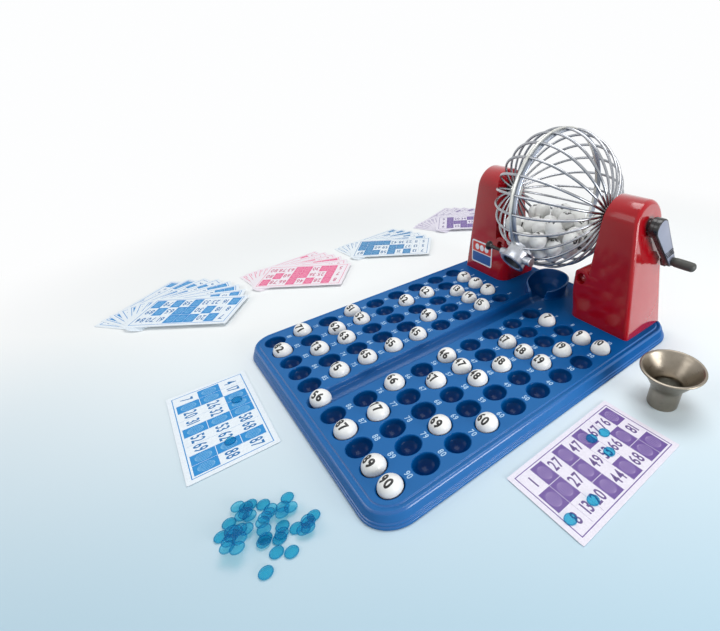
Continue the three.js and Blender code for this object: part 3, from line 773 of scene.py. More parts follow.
# The tray's edge and the underside behind it, as inset and height, and the radii of the edge's corners.
EDGE_LINE = [
    (0, 0), (0, 2.4), (1.2, 2.9), (1.2, 4.7), (2.5, 5.3), (2.6, 6.4), (4.4, 11.4), (6.2, 13.5), (8.6, 13.5),
    (9.7, 13.0), (10.7, 13.0), (TRAY_EDGE + DECK_BORDER + DECK_STEP, DECK),
]
EDGE_RADII = [0, 0.6, 0.4, 0.6, 0.5, 0.8, 2.4, 2.0, 0.8, 0.6, 0.5, 0]
UNDER_LINE = [(0, 0), (1.8, 0), (3.2, 5.6), (4.6, 6.4), (7.4, 11.0), (14, UNDERSIDE)]
CUP_LINE = [(CUP_RADIUS, UNDERSIDE - DECK), (CUP_RADIUS - 0.8, -7), (7.4, -11.6), (0, -11.9)]
# Slopes, in degrees, whose faces get the painted highlight.
LIT_SLOPES = (12, 56)
FOOT_CHAMFER = 0.4
CHANNEL_FAR_Y = CATCHER_Y - 14
WELL_TURNS = 96
POCKET_DIGITS = 5.4
PRINT_LIFT = 0.04
DECK_LOOK, POCKET_LOOK, TROUGH_LOOK, PAINTED_HIGHLIGHT_LOOK = range(4)


def tray_edge():
    """The stepped edge. Its slanted faces, where the light falls, get the paler blue of the painted
    highlight.
    """
    shape = Shape()
    profile = rounded(EDGE_LINE, EDGE_RADII)
    rings = [tray_ring(inset, z) for inset, z in profile]
    shape.add(skin(rings))
    across = len(rings[0])
    for low, (here, ahead) in enumerate(zip(profile, profile[1:])):
        slope = math.degrees(math.atan2(ahead[1] - here[1], ahead[0] - here[0]))
        if LIT_SLOPES[0] < slope < LIT_SLOPES[1]:
            shape.looks[low * across:(low + 1) * across] = [PAINTED_HIGHLIGHT_LOOK] * across
    return shape


def catcher():
    """The bowl's patch, whose lip gets the paler blue of the painted highlight."""
    patch = catcher_patch()
    spans = len(catcher_line(0)) - 1
    lip = range(spans - CATCHER_OUTSIDE - CATCHER_LIP, spans - CATCHER_OUTSIDE)
    shape = Shape().add(patch)
    # The lip gets the painted highlight.
    line_looks = [PAINTED_HIGHLIGHT_LOOK if span in lip else TROUGH_LOOK for span in range(spans)]
    shape.looks = line_looks * (len(patch[1]) // spans)
    return shape


def trough_back(half, ends):
    """The underside of the trough, from one end to the other."""
    side = [(-half, UNDERSIDE), (-half, FOOT_CHAMFER), (-half + FOOT_CHAMFER, 0)]
    line = side + [(-x, z) for x, z in reversed(side)]
    return skin([[(x, y, z) for x, z in line] for y in ends], closed=False)


def round_back(radius, segments, y, test):
    """The part of a round underside at y whose faces pass the test."""
    line = [(radius, UNDERSIDE), (radius, FOOT_CHAMFER), (radius - FOOT_CHAMFER, 0), (0, 0)]
    return moved(flipped(kept(lathe(line, segments), test)), shift(0, y))


def make_tray():
    shape = tray_edge()
    shape.add(flipped(skin([tray_ring(inset, z) for inset, z in rounded(UNDER_LINE, 0.6, 3)])))
    shape.add(deck_face(EDGE_LINE[-1][0], DECK, POCKET_RADIUS + RIM_FILLET, RAIL_EDGE, PATCH_RADIUS))
    shape.add(flipped(deck_face(UNDER_LINE[-1][0], UNDERSIDE, CUP_RADIUS, CHANNEL_HALF, WELL_RADIUS)))
    pocket, cup = lathe(pocket_profile(), POCKET_TURNS), flipped(lathe(CUP_LINE, POCKET_TURNS))
    for number in NUMBERS:
        x, y = pocket_place(number)
        shape.add(moved(pocket, shift(x, y, DECK)), POCKET_LOOK)
        shape.add(moved(cup, shift(x, y, DECK)), DECK_LOOK)
    for part in rail_parts():
        shape.add(part, TROUGH_LOOK)
    shape.take(catcher())
    shape.add(trough_back(CHANNEL_HALF, (CHANNEL_FAR_Y, RAIL_END_Y)))
    shape.add(round_back(CHANNEL_HALF, 2 * SLOT_END_STEPS, RAIL_END_Y, lambda x, y, z: y < 0))
    shape.add(round_back(WELL_RADIUS, WELL_TURNS, CATCHER_Y, lambda x, y, z: y > 0 or abs(x) > CHANNEL_HALF))
    looks = [tray_blue, hollow_blue, trough_blue, painted_highlight_blue]
    piece("moulded_tray", shape, "base", looks, "tray", "tray_blue", 34)


def make_pocket_numbers():
    shape = Shape()
    for number in NUMBERS:
        x, y = pocket_place(number)
        place = shift(x, y + ROW_PITCH / 2, DECK + PRINT_LIFT)
        shape.add(number_at(number, POCKET_DIGITS, place, POCKET_NARROW))
    piece("pocket_numbers", shape, "base", [digit_white], slot="tray_blue")


make_tray()
make_pocket_numbers()


# Balls

BALL = lathe([(BALL_RADIUS * math.sin(a), -BALL_RADIUS * math.cos(a)) for a in spaced(0, math.pi, 20)], 36)
BALL_DIGITS = 8.6
PRINT_WRAP = BALL_RADIUS + 0.05


def ball_digits(number):
    """The number wrapped over the top of the ball."""
    flat, faces = number_flat(number, BALL_DIGITS, BALL_NARROW, True)
    points = []
    for x, y in flat:
        rho = math.hypot(x, y)
        theta = rho / BALL_RADIUS
        side = math.sin(theta) / rho if rho > 1e-6 else 0
        points.append((x * side * PRINT_WRAP, y * side * PRINT_WRAP, math.cos(theta) * PRINT_WRAP))
    return points, faces


def numbered_ball(number, turn, both=False):
    shape = Shape().add(moved(BALL, turn)).add(moved(ball_digits(number), turn), 1)
    if both:
        shape.add(moved(ball_digits(number), turn @ spin(180, "X")), 1)
    return shape


# How far each ball's number leans from straight up, and towards which side, in degrees.
BALL_LEANS = {
    2: (24, -20), 3: (22, -10), 4: (18, -30), 7: (20, -40), 9: (23, -109), 10: (14, -130), 13: (28, -40),
    14: (24, -30), 15: (30, -66), 19: (18, -87), 22: (32, -50), 27: (32, -96), 28: (34, -88), 29: (28, -94),
    32: (34, -59), 34: (32, -61), 38: (18, -84), 45: (28, -66), 46: (34, -68), 47: (16, -65), 48: (20, -86),
    51: (24, -40), 52: (28, -42), 55: (28, -68), 57: (30, -88), 60: (26, -93), 62: (30, -34), 63: (32, -42),
    65: (20, -45), 66: (18, -45), 69: (26, -76), 71: (32, -42), 73: (28, -50), 75: (18, -71), 77: (10, -60),
    82: (26, -45), 87: (16, -64), 89: (20, -91), 90: (14, -84),
}
MORE_BALLS = (73, 75, 77, 82, 87, 89, 90)
RAIL_NUMBER = 56
RAIL_LEAN = (27, -40)
RAIL_SPIN = 24
LEAN_SEED = 4
SPIN_SPREAD = 7
BALL_LOOKS = [ball_white, digit_black]


def leaning(tilt, toward):
    """The turn that takes straight up to a lean of tilt degrees towards a side."""
    return spin(toward, "Z") @ spin(tilt, "Y") @ spin(-toward, "Z")


def make_pocket_balls():
    chance = random.Random(LEAN_SEED)
    for number, lean in BALL_LEANS.items():
        x, y = pocket_place(number)
        turn = leaning(*lean) @ spin(chance.uniform(-SPIN_SPREAD, SPIN_SPREAD), "Z")
        shape = numbered_ball(number, shift(x, y, DECK) @ turn)
        node = None if number in MORE_BALLS else f"ball_{number}"
        piece(f"numbered_ball_{number}", shape, "base", BALL_LOOKS, node, "ball_white")
    turn = leaning(*RAIL_LEAN) @ spin(RAIL_SPIN, "Z")
    rolled = numbered_ball(RAIL_NUMBER, shift(0, NEAR_ROW_Y, DECK) @ turn)
    piece("numbered_rail_ball", rolled, "rail_ball", BALL_LOOKS, "rail_ball", "ball_white")


HEAP_SEED = 11
TURN_SEED = 9
HEAP_TILT = 80
HEAP_REACH = 70.6
HEAP_SPREAD = (39, 42, 16)
HEAP_START = (0, 0, -36)
HEAP_GAP = 0.5
FALL = 0.25
FALLING_STEPS = 640
SETTLING_STEPS = 900
PUSHES = 3
PUSH_SHARE = 0.7


def settled_heap(count):
    """Ball centres in the drum's own frame, dropped and pushed apart until they rest."""
    chance = np.random.default_rng(HEAP_SEED)
    reach = HEAP_REACH - BALL_RADIUS
    squash = np.array([DRUM_SQUASH, 1, 1])
    places = chance.uniform(-1, 1, (count, 3)) * np.array(HEAP_SPREAD) + np.array(HEAP_START)
    for step in range(SETTLING_STEPS):
        if step < FALLING_STEPS:
            places[:, 2] -= FALL
        for _ in range(PUSHES):
            gap = places[:, None, :] - places[None, :, :]
            distance = np.linalg.norm(gap, axis=2) + np.eye(count) * 1e3
            push = np.clip(2 * BALL_RADIUS + HEAP_GAP - distance, 0, None) / distance / 2
            places += (gap * push[:, :, None]).sum(axis=1) * PUSH_SHARE
            far = np.linalg.norm(places / squash, axis=1)
            places *= np.minimum(1, reach / far)[:, None]
    return places


def make_heap():
    left = [n for n in NUMBERS if n not in BALL_LEANS and n != RAIL_NUMBER]
    chance = random.Random(TURN_SEED)
    heap = Shape()
    for number, (x, y, z) in zip(left, settled_heap(len(left))):
        turn = spin(chance.uniform(0, 360), "Z") @ spin(chance.uniform(0, HEAP_TILT), "X")
        turn = turn @ spin(chance.uniform(0, 360), "Z")
        heap.take(numbered_ball(number, shift(x, y + AXIS_Y, z + AXIS_Z) @ turn, True))
    piece("heaped_balls", heap, "base", BALL_LOOKS, "drum_balls", "ball_white")


make_pocket_balls()
make_heap()


# Stands

OUTER_EDGE = 4.5
FOOT_EDGE = 15
FOOT_EDGE_TOP = 38
LOBE_END = 0.6
LOBE_X = STAND_INNER_X + LOBE_RADIUS
LOBE_FRONT = -STAND_HALF_DEPTH + (STAND_HALF_DEPTH - ARCH_RADIUS) * LOBE_HEIGHT / AXIS_HEIGHT
CUT_SPARE = 0.01
RECESS_LINE = [(0, -20), (6.2, -20), (6.2, 7), (5.8, 7.4), (0, 7.4)]
SCREW_LINE = [(0, -1), (3.5, -1), (3.5, 0.6), (3.1, 1.4), (2.0, 1.8), (0.6, 1.2), (0.6, 0.2), (0, 0.2)]
SCREW_SEAT = 6.6
AXLE_BORE = 7.15
BORE_START = 40
BORE_ENDS = {"right": STAND_OUTER_X + 6, "left": 115.6}
CUT_TOP = AXIS_HEIGHT + ARCH_RADIUS + 3
CUT_OUTER_X = STAND_OUTER_X + 4
CUT_HALF_DEPTH = 60
STAND_BEVEL = 1.8
OUTER_FACE_X = 110


def leg_angle(half, radius):
    """How far round the arch the straight leg touches it, when the leg's foot is this half depth out."""
    return math.acos(radius / math.hypot(half, AXIS_HEIGHT)) - math.atan2(AXIS_HEIGHT, half)


def arch_ring(turn, edge, place, legs=14, steps=30):
    """The arch's outline, this angle round its rounded edge. edge gives the edge's radius at a height."""
    top = edge(AXIS_HEIGHT)
    inset = top * (1 - math.sin(turn))
    half, radius = STAND_HALF_DEPTH - inset, ARCH_RADIUS - inset
    start = leg_angle(half, radius)
    knee = (radius * math.cos(start), AXIS_HEIGHT + radius * math.sin(start))
    leg = []
    for k in range(legs):
        z = -STAND_SUNK + (knee[1] + STAND_SUNK) * k / legs
        y = half + (knee[0] - half) * k / legs - (edge(z) - top) * (1 - math.sin(turn))
        leg.append((place(edge(z) * (1 - math.cos(turn)), z), y, z))
    arch = arc(radius, start, math.pi - start, steps, 0, AXIS_HEIGHT)
    arch = [(place(top * (1 - math.cos(turn)), z), y, z) for y, z in arch]
    return leg + arch + [(x, -y, z) for x, y, z in reversed(leg)]


def inner_edge(z):
    """The radius of the edge towards the drum: wide at the foot and narrow from the lobe upwards."""
    return FOOT_EDGE - (FOOT_EDGE - OUTER_EDGE) * smooth_step(z / FOOT_EDGE_TOP)


def arch_prism(steps=10):
    """The arch through the stand's whole width, with both edges rounded."""
    def inner(across, z):
        return STAND_INNER_X + across

    def outer(across, z):
        return STAND_OUTER_X - across - STAND_TAPER * z

    turns = spaced(0, math.pi / 2, steps)
    inside = [arch_ring(turn, inner_edge, inner) for turn in turns]
    outside = [arch_ring(turn, lambda z: OUTER_EDGE, outer) for turn in reversed(turns)]
    return skin(inside + outside, capped=True)


def outline_prism():
    """The stand seen along Y: the lobe, the leaning tower and room to spare on the outside."""
    inside = STAND_INNER_X - CUT_SPARE
    line = [(inside, 0), (inside, LOBE_HEIGHT)]
    line += arc(LOBE_RADIUS, math.pi, LOBE_END, 20, LOBE_X, LOBE_HEIGHT)[1:]
    foot_x, foot_z = line[-1]
    for t in spaced(0, 1, 12)[1:]:
        x = foot_x * (1 - t) ** 2 + 2 * t * (1 - t) * TOWER_INNER_X + t * t * (TOWER_INNER_X + TOWER_LEAN)
        z = foot_z * (1 - t) ** 2 + 2 * t * (1 - t) * AXIS_HEIGHT + t * t * CUT_TOP
        line.append((x, z))
    line += [(CUT_OUTER_X, CUT_TOP), (CUT_OUTER_X, 0)]
    return skin([[(x, y, z) for x, z in line] for y in (-CUT_HALF_DEPTH, CUT_HALF_DEPTH)], capped=True)


def scratch(part):
    """An object that is only there for a cut."""
    mesh = bpy.data.meshes.new("scratch")
    mesh.from_pydata([Vector(p) * MM for p in part[0]], [], part[1])
    welded(mesh, 1e-8)
    return new_object("scratch", mesh)


def carved(part, cuts, bevel=0.0):
    """The part after its cuts, each an operation and another part. bevel softens the edges at the end."""
    block = scratch(part)
    tools = [scratch(tool) for operation, tool in cuts]
    for (operation, _), tool in zip(cuts, tools):
        modifier = block.modifiers.new("cut", "BOOLEAN")
        modifier.operation = operation
        modifier.solver = "EXACT"
        modifier.object = tool
    if bevel:
        modifier = block.modifiers.new("soften", "BEVEL")
        modifier.width = bevel * MM
        modifier.segments = 4
        modifier.limit_method = "ANGLE"
        modifier.angle_limit = math.radians(38)
        modifier.use_clamp_overlap = True
    points, faces = evaluated(block)
    for tool in tools:
        bpy.data.objects.remove(tool)
    return [tuple(point / MM) for point in points], faces


def stand_solid(bore_end):
    """The right stand with its foot at the origin and the axle's bore up to this place along X."""
    recess = moved(lathe(RECESS_LINE, 40), spin(-90, "X"))
    bore = lathe([(0, BORE_START), (AXLE_BORE, BORE_START), (AXLE_BORE, bore_end), (0, bore_end)], 40)
    cuts = [
        ("INTERSECT", outline_prism()),
        ("DIFFERENCE", moved(recess, shift(LOBE_X, LOBE_FRONT, LOBE_HEIGHT))),
        ("DIFFERENCE", moved(moved(bore, ALONG_X), shift(0, 0, AXIS_HEIGHT))),
    ]
    return carved(arch_prism(), cuts, STAND_BEVEL)


def on_outer_face(part, face):
    """True where the face of the right stand looks away from the drum and lies on the outside."""
    corners = [Vector(part[0][i]) for i in face]
    normal = Vector((0, 0, 0))
    for here, ahead in zip(corners, corners[1:] + corners[:1]):
        normal += here.cross(ahead)
    return normal.normalized().x > 0.93 and min(corner.x for corner in corners) > OUTER_FACE_X


def make_stands():
    screw = moved(lathe(SCREW_LINE, 28), spin(90, "X"))
    for side, bore_end in BORE_ENDS.items():
        parts = [stand_solid(bore_end), moved(screw, shift(LOBE_X, LOBE_FRONT + SCREW_SEAT, LOBE_HEIGHT))]
        outside = [on_outer_face(parts[0], face) for face in parts[0][1]]
        if side == "left":
            parts = [mirrored(part) for part in parts]
        housing, screws = (moved(part, shift(0, AXIS_Y, DECK)) for part in parts)
        shape = Shape().add(housing)
        shape.looks = [1 if is_outside else 0 for is_outside in outside]
        shape.add(screws, 1)
        piece(f"{side}_housing", shape, "base", [stand_red, side_red], f"{side}_stand", "stand_red", 30)


def front_plane():
    """The left stand's front as a frame: X to the right, Y up the slope and Z out of it."""
    start = leg_angle(STAND_HALF_DEPTH, ARCH_RADIUS)
    top = Vector((0, -ARCH_RADIUS * math.cos(start), AXIS_HEIGHT + ARCH_RADIUS * math.sin(start)))
    foot = Vector((0, -STAND_HALF_DEPTH, 0))
    across = Vector((1, 0, 0))
    up = (top - foot).normalized()
    turn = Matrix((across, up, across.cross(up))).transposed().to_4x4()
    return shift(0, AXIS_Y - STAND_HALF_DEPTH, DECK) @ turn


STICKER = (-124.5, 12, -82, 44)
STICKER_SHEET = (3, 0.02, 0.22)
STICKER_BAND = (1.6, 0.2, 0.27, 0.03)
STICKER_BANDS = (-122.5, 28.6, -84, 42), (-122.5, 14, -84, 27.4)
STICKER_DISC = [(0, 0.2), (4.2, 0.2), (4.2, 0.29), (4.16, 0.31), (0, 0.31)]
STICKER_DISC_PLACES = (-113, 35.3), (-103.2, 35.3), (-93.4, 35.3)


def make_sticker():
    plane = front_plane()
    shape = Shape().add(moved(rounded_plate(*STICKER, *STICKER_SHEET), plane))
    for look, band in enumerate(STICKER_BANDS, 1):
        shape.add(moved(rounded_plate(*band, *STICKER_BAND), plane), look)
    for place in STICKER_DISC_PLACES:
        shape.add(moved(moved(lathe(STICKER_DISC, 32), shift(*place)), plane))
    piece("plain_sticker", shape, "base", [label_white, sticker_red, sticker_blue], slot="stand_red")


make_stands()
make_sticker()


# Drum

WIRES = 24
WIRE_STEP = 2 * math.pi / WIRES
WIRE_HOOK = Vector((0.6, -3.4, 0))
PLATE_WIRES = 9.6
OUTLET_RING = 14
BAND_MEET = 1.3
BAND_GAP = 14.2 / 75
PLATE_LINE = [
    (4.4, 67.8), (10.2, 67.8), (11, 68.4), (11, 69.6), (10.4, 70.4), (8.6, 71.1), (5.2, 71.3), (4.4, 70.8),
    (4.4, 67.8),
]
COLLAR_LINE = [(4.3, 0), (7, 0), (7.5, 0.5), (7.5, 2.5), (7, 3), (4.3, 3), (4.3, 0)]
COLLAR_X = 70.66
PALE_HOOP = [(-3.9, 73.6), (-0.1, 73.6), (-0.1, 76.2), (-0.7, 77.0), (-2.0, 77.3), (-3.3, 77.0), (-3.9, 76.2)]
GREY_HOOP = [(0.0, 73.2), (4.6, 73.2), (4.6, 74.2), (4.4, 74.5), (0.2, 74.5), (0.0, 74.3)]
SIDES = ("right", 1), ("left", -1)


def on_axle(part, side=1):
    """The part in its place on the drum's axle, mirrored for the left side."""
    return moved(mirrored(part) if side < 0 else part, AXLE)


def cage_wires():
    """The right half's wires, from the end plate to the band, round the origin."""
    wires = []
    start = math.asin(PLATE_WIRES / WIRE_CENTRE)
    for k in range(WIRES):
        offset = WIRE_CENTRE * math.sin((k + 0.5) * WIRE_STEP)
        near_outlet = abs(offset) < OUTLET_RING and math.cos((k + 0.5) * WIRE_STEP) > 0
        end_x = math.sqrt(OUTLET_RING ** 2 - offset ** 2) if near_outlet else BAND_MEET
        end = math.acos(end_x / (WIRE_CENTRE * DRUM_SQUASH))
        path = [Vector((x * DRUM_SQUASH, y, 0)) for x, y in arc(WIRE_CENTRE, start, end, 28)]
        path.insert(0, path[0] + WIRE_HOOK)
        wire = tube(path, WIRE_RADIUS, Vector((0, 0, 1)), 12)
        turn = math.pi + OUTLET_PITCH + (k + 0.5) * WIRE_STEP
        wires.append(moved(wire, Matrix.Rotation(turn, 4, "X")))
    return wires


def make_cage():
    plate = moved(turned(PLATE_LINE, 0.5, 48), ALONG_X)
    ring = moved(lathe(COLLAR_LINE, 40), shift(COLLAR_X) @ ALONG_X)
    for name, side in SIDES:
        shape = Shape()
        for wire in cage_wires():
            shape.add(on_axle(wire, side))
        shape.add(on_axle(plate, side), 1)
        piece(f"{name}_wires", shape, "drum", [wire_steel, band_pale], f"{name}_cage_half", "drum_wire")
        collar = on_axle(ring, side)
        piece(f"{name}_turned_collar", collar, "drum", [turned_steel], f"{name}_collar", "drum_wire", 30)


def band_strip(section):
    """A hoop round X with the outlet's gap left out. The section is (x, radius) points."""
    start = math.pi + OUTLET_PITCH
    turns = spaced(start + BAND_GAP, start + 2 * math.pi - BAND_GAP, 144)
    rings = [[(x, r * math.cos(a), r * math.sin(a)) for x, r in section] for a in turns]
    return on_axle(skin(rings, capped=True))


def make_band():
    shape = Shape().add(band_strip(PALE_HOOP)).add(band_strip(GREY_HOOP), 1)
    piece("joined_band", shape, "drum", [band_pale, band_grey], "cage_band", "drum_wire", 35, weld=True)


# The outlet's own frame has Z out of the drum. Its lines are radius and height.
SPOUT_OUTSIDE = [(11.0, 71.2), (15.0, 71.2), (15.3, 72.4), (14.0, 74.6), (14.2, 84), (15.4, 90), (16.0, 91.2)]
SPOUT_MOUTH = [(16.0, 91.2), (15.6, 92), (12.2, 92), (11.3, 91.2)]
SPOUT_INSIDE = [(11.0, 88), (10.9, 74), (11.0, 71.2)]
MOUTH_START = 91.15
BORE_REACH = 11.35
BOSSES = shift(0, 0, 82.5) @ ALONG_X
PIN_BORE = [(0, -30), (2.2, -30), (2.2, -6), (0, -6)]
LEFT_BOSS = [(0, -24.5), (3.9, -24.5), (4.6, -23.8), (4.6, -13), (5.4, -10.9), (0, -10.9)]
RIGHT_BOSS = [(0, 10.9), (5.6, 10.9), (4.9, 13), (4.7, 21.0), (4.2, 22.2), (0, 22.2)]
BOSS_CAP = [(0, 22.5), (5.0, 22.5), (5.2, 22.8), (5.2, 24.1), (4.6, 24.5), (0, 24.5)]
PLUNGER = [
    (0, -11), (1.9, -11), (1.9, -36), (2.2, -37), (2.4, -41.3), (3.2, -44), (5.0, -45.8), (5.6, -46.6),
    (5.6, -47.9), (5.1, -48.3), (1.6, -48.3), (0, -47.6),
]


def spout(pin_bore):
    """The outlet's tube, with looks for its mouth and its inside, whose darker metal is painted shade."""
    wall = rounded(SPOUT_OUTSIDE, 0.8, 3) + rounded(SPOUT_MOUTH, 0.5)[1:] + SPOUT_INSIDE
    part = carved(lathe(wall, 64), [("DIFFERENCE", pin_bore)])
    shape = Shape().add(part)
    for index, face in enumerate(part[1]):
        corners = [part[0][corner] for corner in face]
        if min(z for x, y, z in corners) > MOUTH_START:
            shape.looks[index] = 1
        # Faces inside the tube get the darker metal of the painted shade.
        elif max(math.hypot(x, y) for x, y, z in corners) < BORE_REACH:
            shape.looks[index] = 2
    return shape


# The web beside the spout, from its start to its end: the way along X, half its width and its top.
WEB_ALONG = (10, 18.2)
WEB_HALF = (9.5, 3.3)
WEB_TOP = (76.8, 75.6)
WEB_DEPTH = 2.4


def between(pair, share):
    return pair[0] + (pair[1] - pair[0]) * share


def spout_web(side):
    """A web from the spout's root out along the drum, which gets narrower."""
    rings = []
    for share in spaced(0, 1, 8):
        x = side * between(WEB_ALONG, share)
        half = between(WEB_HALF, share ** 1.6)
        top = between(WEB_TOP, share)
        low = top - WEB_DEPTH
        rings.append([(x, -half, low), (x, half, low), (x, half - 0.6, top), (x, -half + 0.6, top)])
    return skin(rings, capped=True)


def make_outlet():
    pin_bore = moved(lathe(PIN_BORE, 24), BOSSES)
    shape = spout(pin_bore)
    shape.add(carved(moved(turned(LEFT_BOSS, 0.5, 36), BOSSES), [("DIFFERENCE", pin_bore)]))
    shape.add(moved(turned(RIGHT_BOSS, 0.8, 36), BOSSES))
    for side in (1, -1):
        shape.add(spout_web(side))
    placed = Shape().take(shape, OUTLET)
    looks = [cast_silver, band_grey, painted_bore_shade]
    piece("cast_outlet", placed, "drum", looks, "outlet_tube", "cast_silver", 32, weld=True)
    cap = moved(moved(turned(BOSS_CAP, 0.3, 36), BOSSES), OUTLET)
    piece("boss_cap", cap, "drum", [cast_silver], "gate_cap", "cast_silver", 32)
    pin = moved(moved(flipped(turned(PLUNGER, 0.5, 40)), BOSSES), OUTLET)
    piece("flared_plunger", pin, "gate", [crank_black], "gate_plunger", "black_plastic", 32)


make_cage()
make_band()
make_outlet()


# Axles, bearings and crank

AXLE_START = 67.7
AXLE_RADIUS = 4
AXLE_CHAMFER = 0.4
BUSH_OUTER = 6.85
BUSH_FACE = [(4.3, 76.1), (9.6, 76.1), (10.2, 76.6), (10.2, 77.2), (BUSH_OUTER, 77.5)]
AXLE_ENDS = {"right": (129.5, 120.5), "left": (115.0, 115.3)}


def make_axles():
    for name, side in SIDES:
        end, bush_end = AXLE_ENDS[name]
        small = AXLE_RADIUS - AXLE_CHAMFER
        axle = [(0, AXLE_START), (small, AXLE_START), (AXLE_RADIUS, AXLE_START + AXLE_CHAMFER)]
        axle += [(AXLE_RADIUS, end - AXLE_CHAMFER), (small, end), (0, end)]
        axle = on_axle(moved(lathe(axle, 36), ALONG_X), side)
        piece(f"{name}_turned_axle", axle, "drum", [turned_steel], f"{name}_axle", "bright_steel", 30)
        bush = [*BUSH_FACE, (BUSH_OUTER, bush_end), (BUSH_FACE[0][0], bush_end), BUSH_FACE[0]]
        bush = on_axle(moved(lathe(bush, 40), ALONG_X), side)
        piece(f"{name}_bush", bush, "base", [crank_black], f"{name}_bearing", "black_plastic", 30)


CRANK_TURN = math.radians(-59)
CRANK_LENGTH = 44
CRANK_LEAN = 7.0
CRANK_FACE_X = 132.75
HUB_RADIUS = 10.0
TIP_RADIUS = 6.0
HUB_LINE = [(4.4, 121.75), (9.4, 121.75), (10, 122.4), (10, 131.85), (9.2, 132.45), (0, 132.45)]
ARM_BODY = (CRANK_FACE_X - 7, CRANK_FACE_X - 0.3, 0.9)
ARM_FACE = (CRANK_FACE_X - 0.6, CRANK_FACE_X + 0.05, 0.25, 1.3)
RIBS = 4
RIB_START = 29.5
RIB_STEP = 1.9
RIB_HALF = (8.6, 5.0)
RIB_SLANT = 0.3
RIB_SECTION = (-0.5, -0.3), (0.5, -0.3), (0.3, 0.42), (-0.3, 0.42)
GRIP_BLOCK = (38.2, -5.4, 50.2, 5.4, 2.0, CRANK_FACE_X - 3.4, CRANK_FACE_X + 2.2, 0.8)
GRIP_X = 140.05
GRIP_RADIUS = 4.75
GRIP_FOOT = [(2.3, 0), (4.2, 0), (4.4, 0.3), (4.4, 2.0), (4.0, 2.2), (4.0, 2.7), (4.6, 2.9)]
GRIP_SLEEVE = (3.3, 20.9)
GRIP_BULGE = 0.15
GRIP_DOME = 4.05
PIN_LINE = [(0, 133.4), (1.8, 133.4), (2, 133.6), (2, 157.6), (1.8, 157.8), (0, 157.8)]


def arm_outline(inset, steps=16):
    """The crank arm seen along the axle: a hub and a smaller tip, joined by straight sides."""
    hub, tip = HUB_RADIUS - inset, TIP_RADIUS - inset
    tangent = math.acos((HUB_RADIUS - TIP_RADIUS) / CRANK_LENGTH)
    outline = arc(hub, tangent, 2 * math.pi - tangent, 2 * steps)
    return outline + arc(tip, -tangent, tangent, steps, CRANK_LENGTH)


def lean_at(x):
    """How far the arm stands out from the hub at this distance along it."""
    return CRANK_LEAN * min(1.0, max(0.0, x / CRANK_LENGTH))


def arm_slab(w0, w1, edge, inset=0.0):
    """A slab of the arm between two heights, with both edges rounded."""
    low = [(edge, w0), (edge * 0.3, w0 + edge * 0.3), (0, w0 + edge)]
    high = [(0, w1 - edge), (edge * 0.3, w1 - edge * 0.3), (edge, w1)]
    rings = [[(x, y, w + lean_at(x)) for x, y in arm_outline(inset + drop)] for drop, w in low + high]
    return skin(rings, capped=True)


def arm_rib(x):
    """A slanting rib across the arm's face."""
    half = between(RIB_HALF, x / CRANK_LENGTH)
    rings = []
    for y in spaced(-half, half, 6):
        middle = x + RIB_SLANT * y
        face = CRANK_FACE_X + lean_at(middle)
        rings.append([(middle + across, y, face + up) for across, up in RIB_SECTION])
    return skin(rings, capped=True)


def make_crank():
    basis = Matrix((
        Vector((0, 0, 1)),
        Vector((math.cos(CRANK_TURN), -math.sin(CRANK_TURN), 0)),
        Vector((math.sin(CRANK_TURN), math.cos(CRANK_TURN), 0)),
    )).to_4x4()
    arm = AXLE @ basis
    shape = Shape().add(moved(arm_slab(*ARM_BODY), arm))
    shape.add(moved(turned(HUB_LINE, 0.5, 56), AXLE @ ALONG_X))
    shape.add(moved(rounded_plate(*GRIP_BLOCK), arm))
    shape.add(moved(arm_slab(*ARM_FACE), arm), 1)
    for k in range(RIBS):
        shape.add(moved(arm_rib(RIB_START + RIB_STEP * k), arm))
    looks = [crank_black, crank_face]
    piece("moulded_crank", shape, "drum", looks, "crank_arm", "black_plastic", 34, weld=True)


def make_grip():
    y = AXIS_Y + CRANK_LENGTH * math.cos(CRANK_TURN)
    z = AXIS_Z + CRANK_LENGTH * math.sin(CRANK_TURN)
    profile = list(GRIP_FOOT)
    for share in spaced(0, 1, 12):
        profile.append((GRIP_RADIUS + GRIP_BULGE * math.sin(math.pi * share), between(GRIP_SLEEVE, share)))
    for a in spaced(0, math.pi / 2, 8)[1:]:
        profile.append((GRIP_RADIUS * math.cos(a), GRIP_SLEEVE[1] + GRIP_DOME * math.sin(a)))
    grip = moved(lathe(profile, 48), shift(GRIP_X, y, z) @ ALONG_X)
    piece("textured_grip", grip, "grip", [grip_grey], "crank_grip", "black_plastic", 40)
    pin = moved(lathe(PIN_LINE, 24), shift(0, y, z) @ ALONG_X)
    piece("turned_grip_pin", pin, "drum", [turned_steel], "grip_pin", "bright_steel", 30)


make_axles()
make_crank()
make_grip()


# Funnel

FUNNEL_PLACE = (208.45, 80)
FUNNEL_OUTSIDE = [
    (13.2, 0.2), (13.7, 0), (14, 0.4), (14, 19), (14.6, 21.2), (25.6, 38.6), (26.6, 39.8), (28.2, 40.1),
    (28.5, 40.8), (28.2, 41.7), (27.2, 42),
]
FUNNEL_INSIDE = [(27.2, 42), (26.2, 41.9), (25.2, 40.6), (13.7, 21.6), (13.1, 19.4), (13.1, 0.5), (13.2, 0.2)]


def make_funnel():
    profile = rounded(FUNNEL_OUTSIDE, 0.9)[:-1] + rounded(FUNNEL_INSIDE, 0.9)
    funnel = moved(lathe(profile, 72), shift(*FUNNEL_PLACE))
    piece("brushed_funnel", funnel, "base", [funnel_metal], "funnel", "funnel_grey", 30)


make_funnel()


# Cards

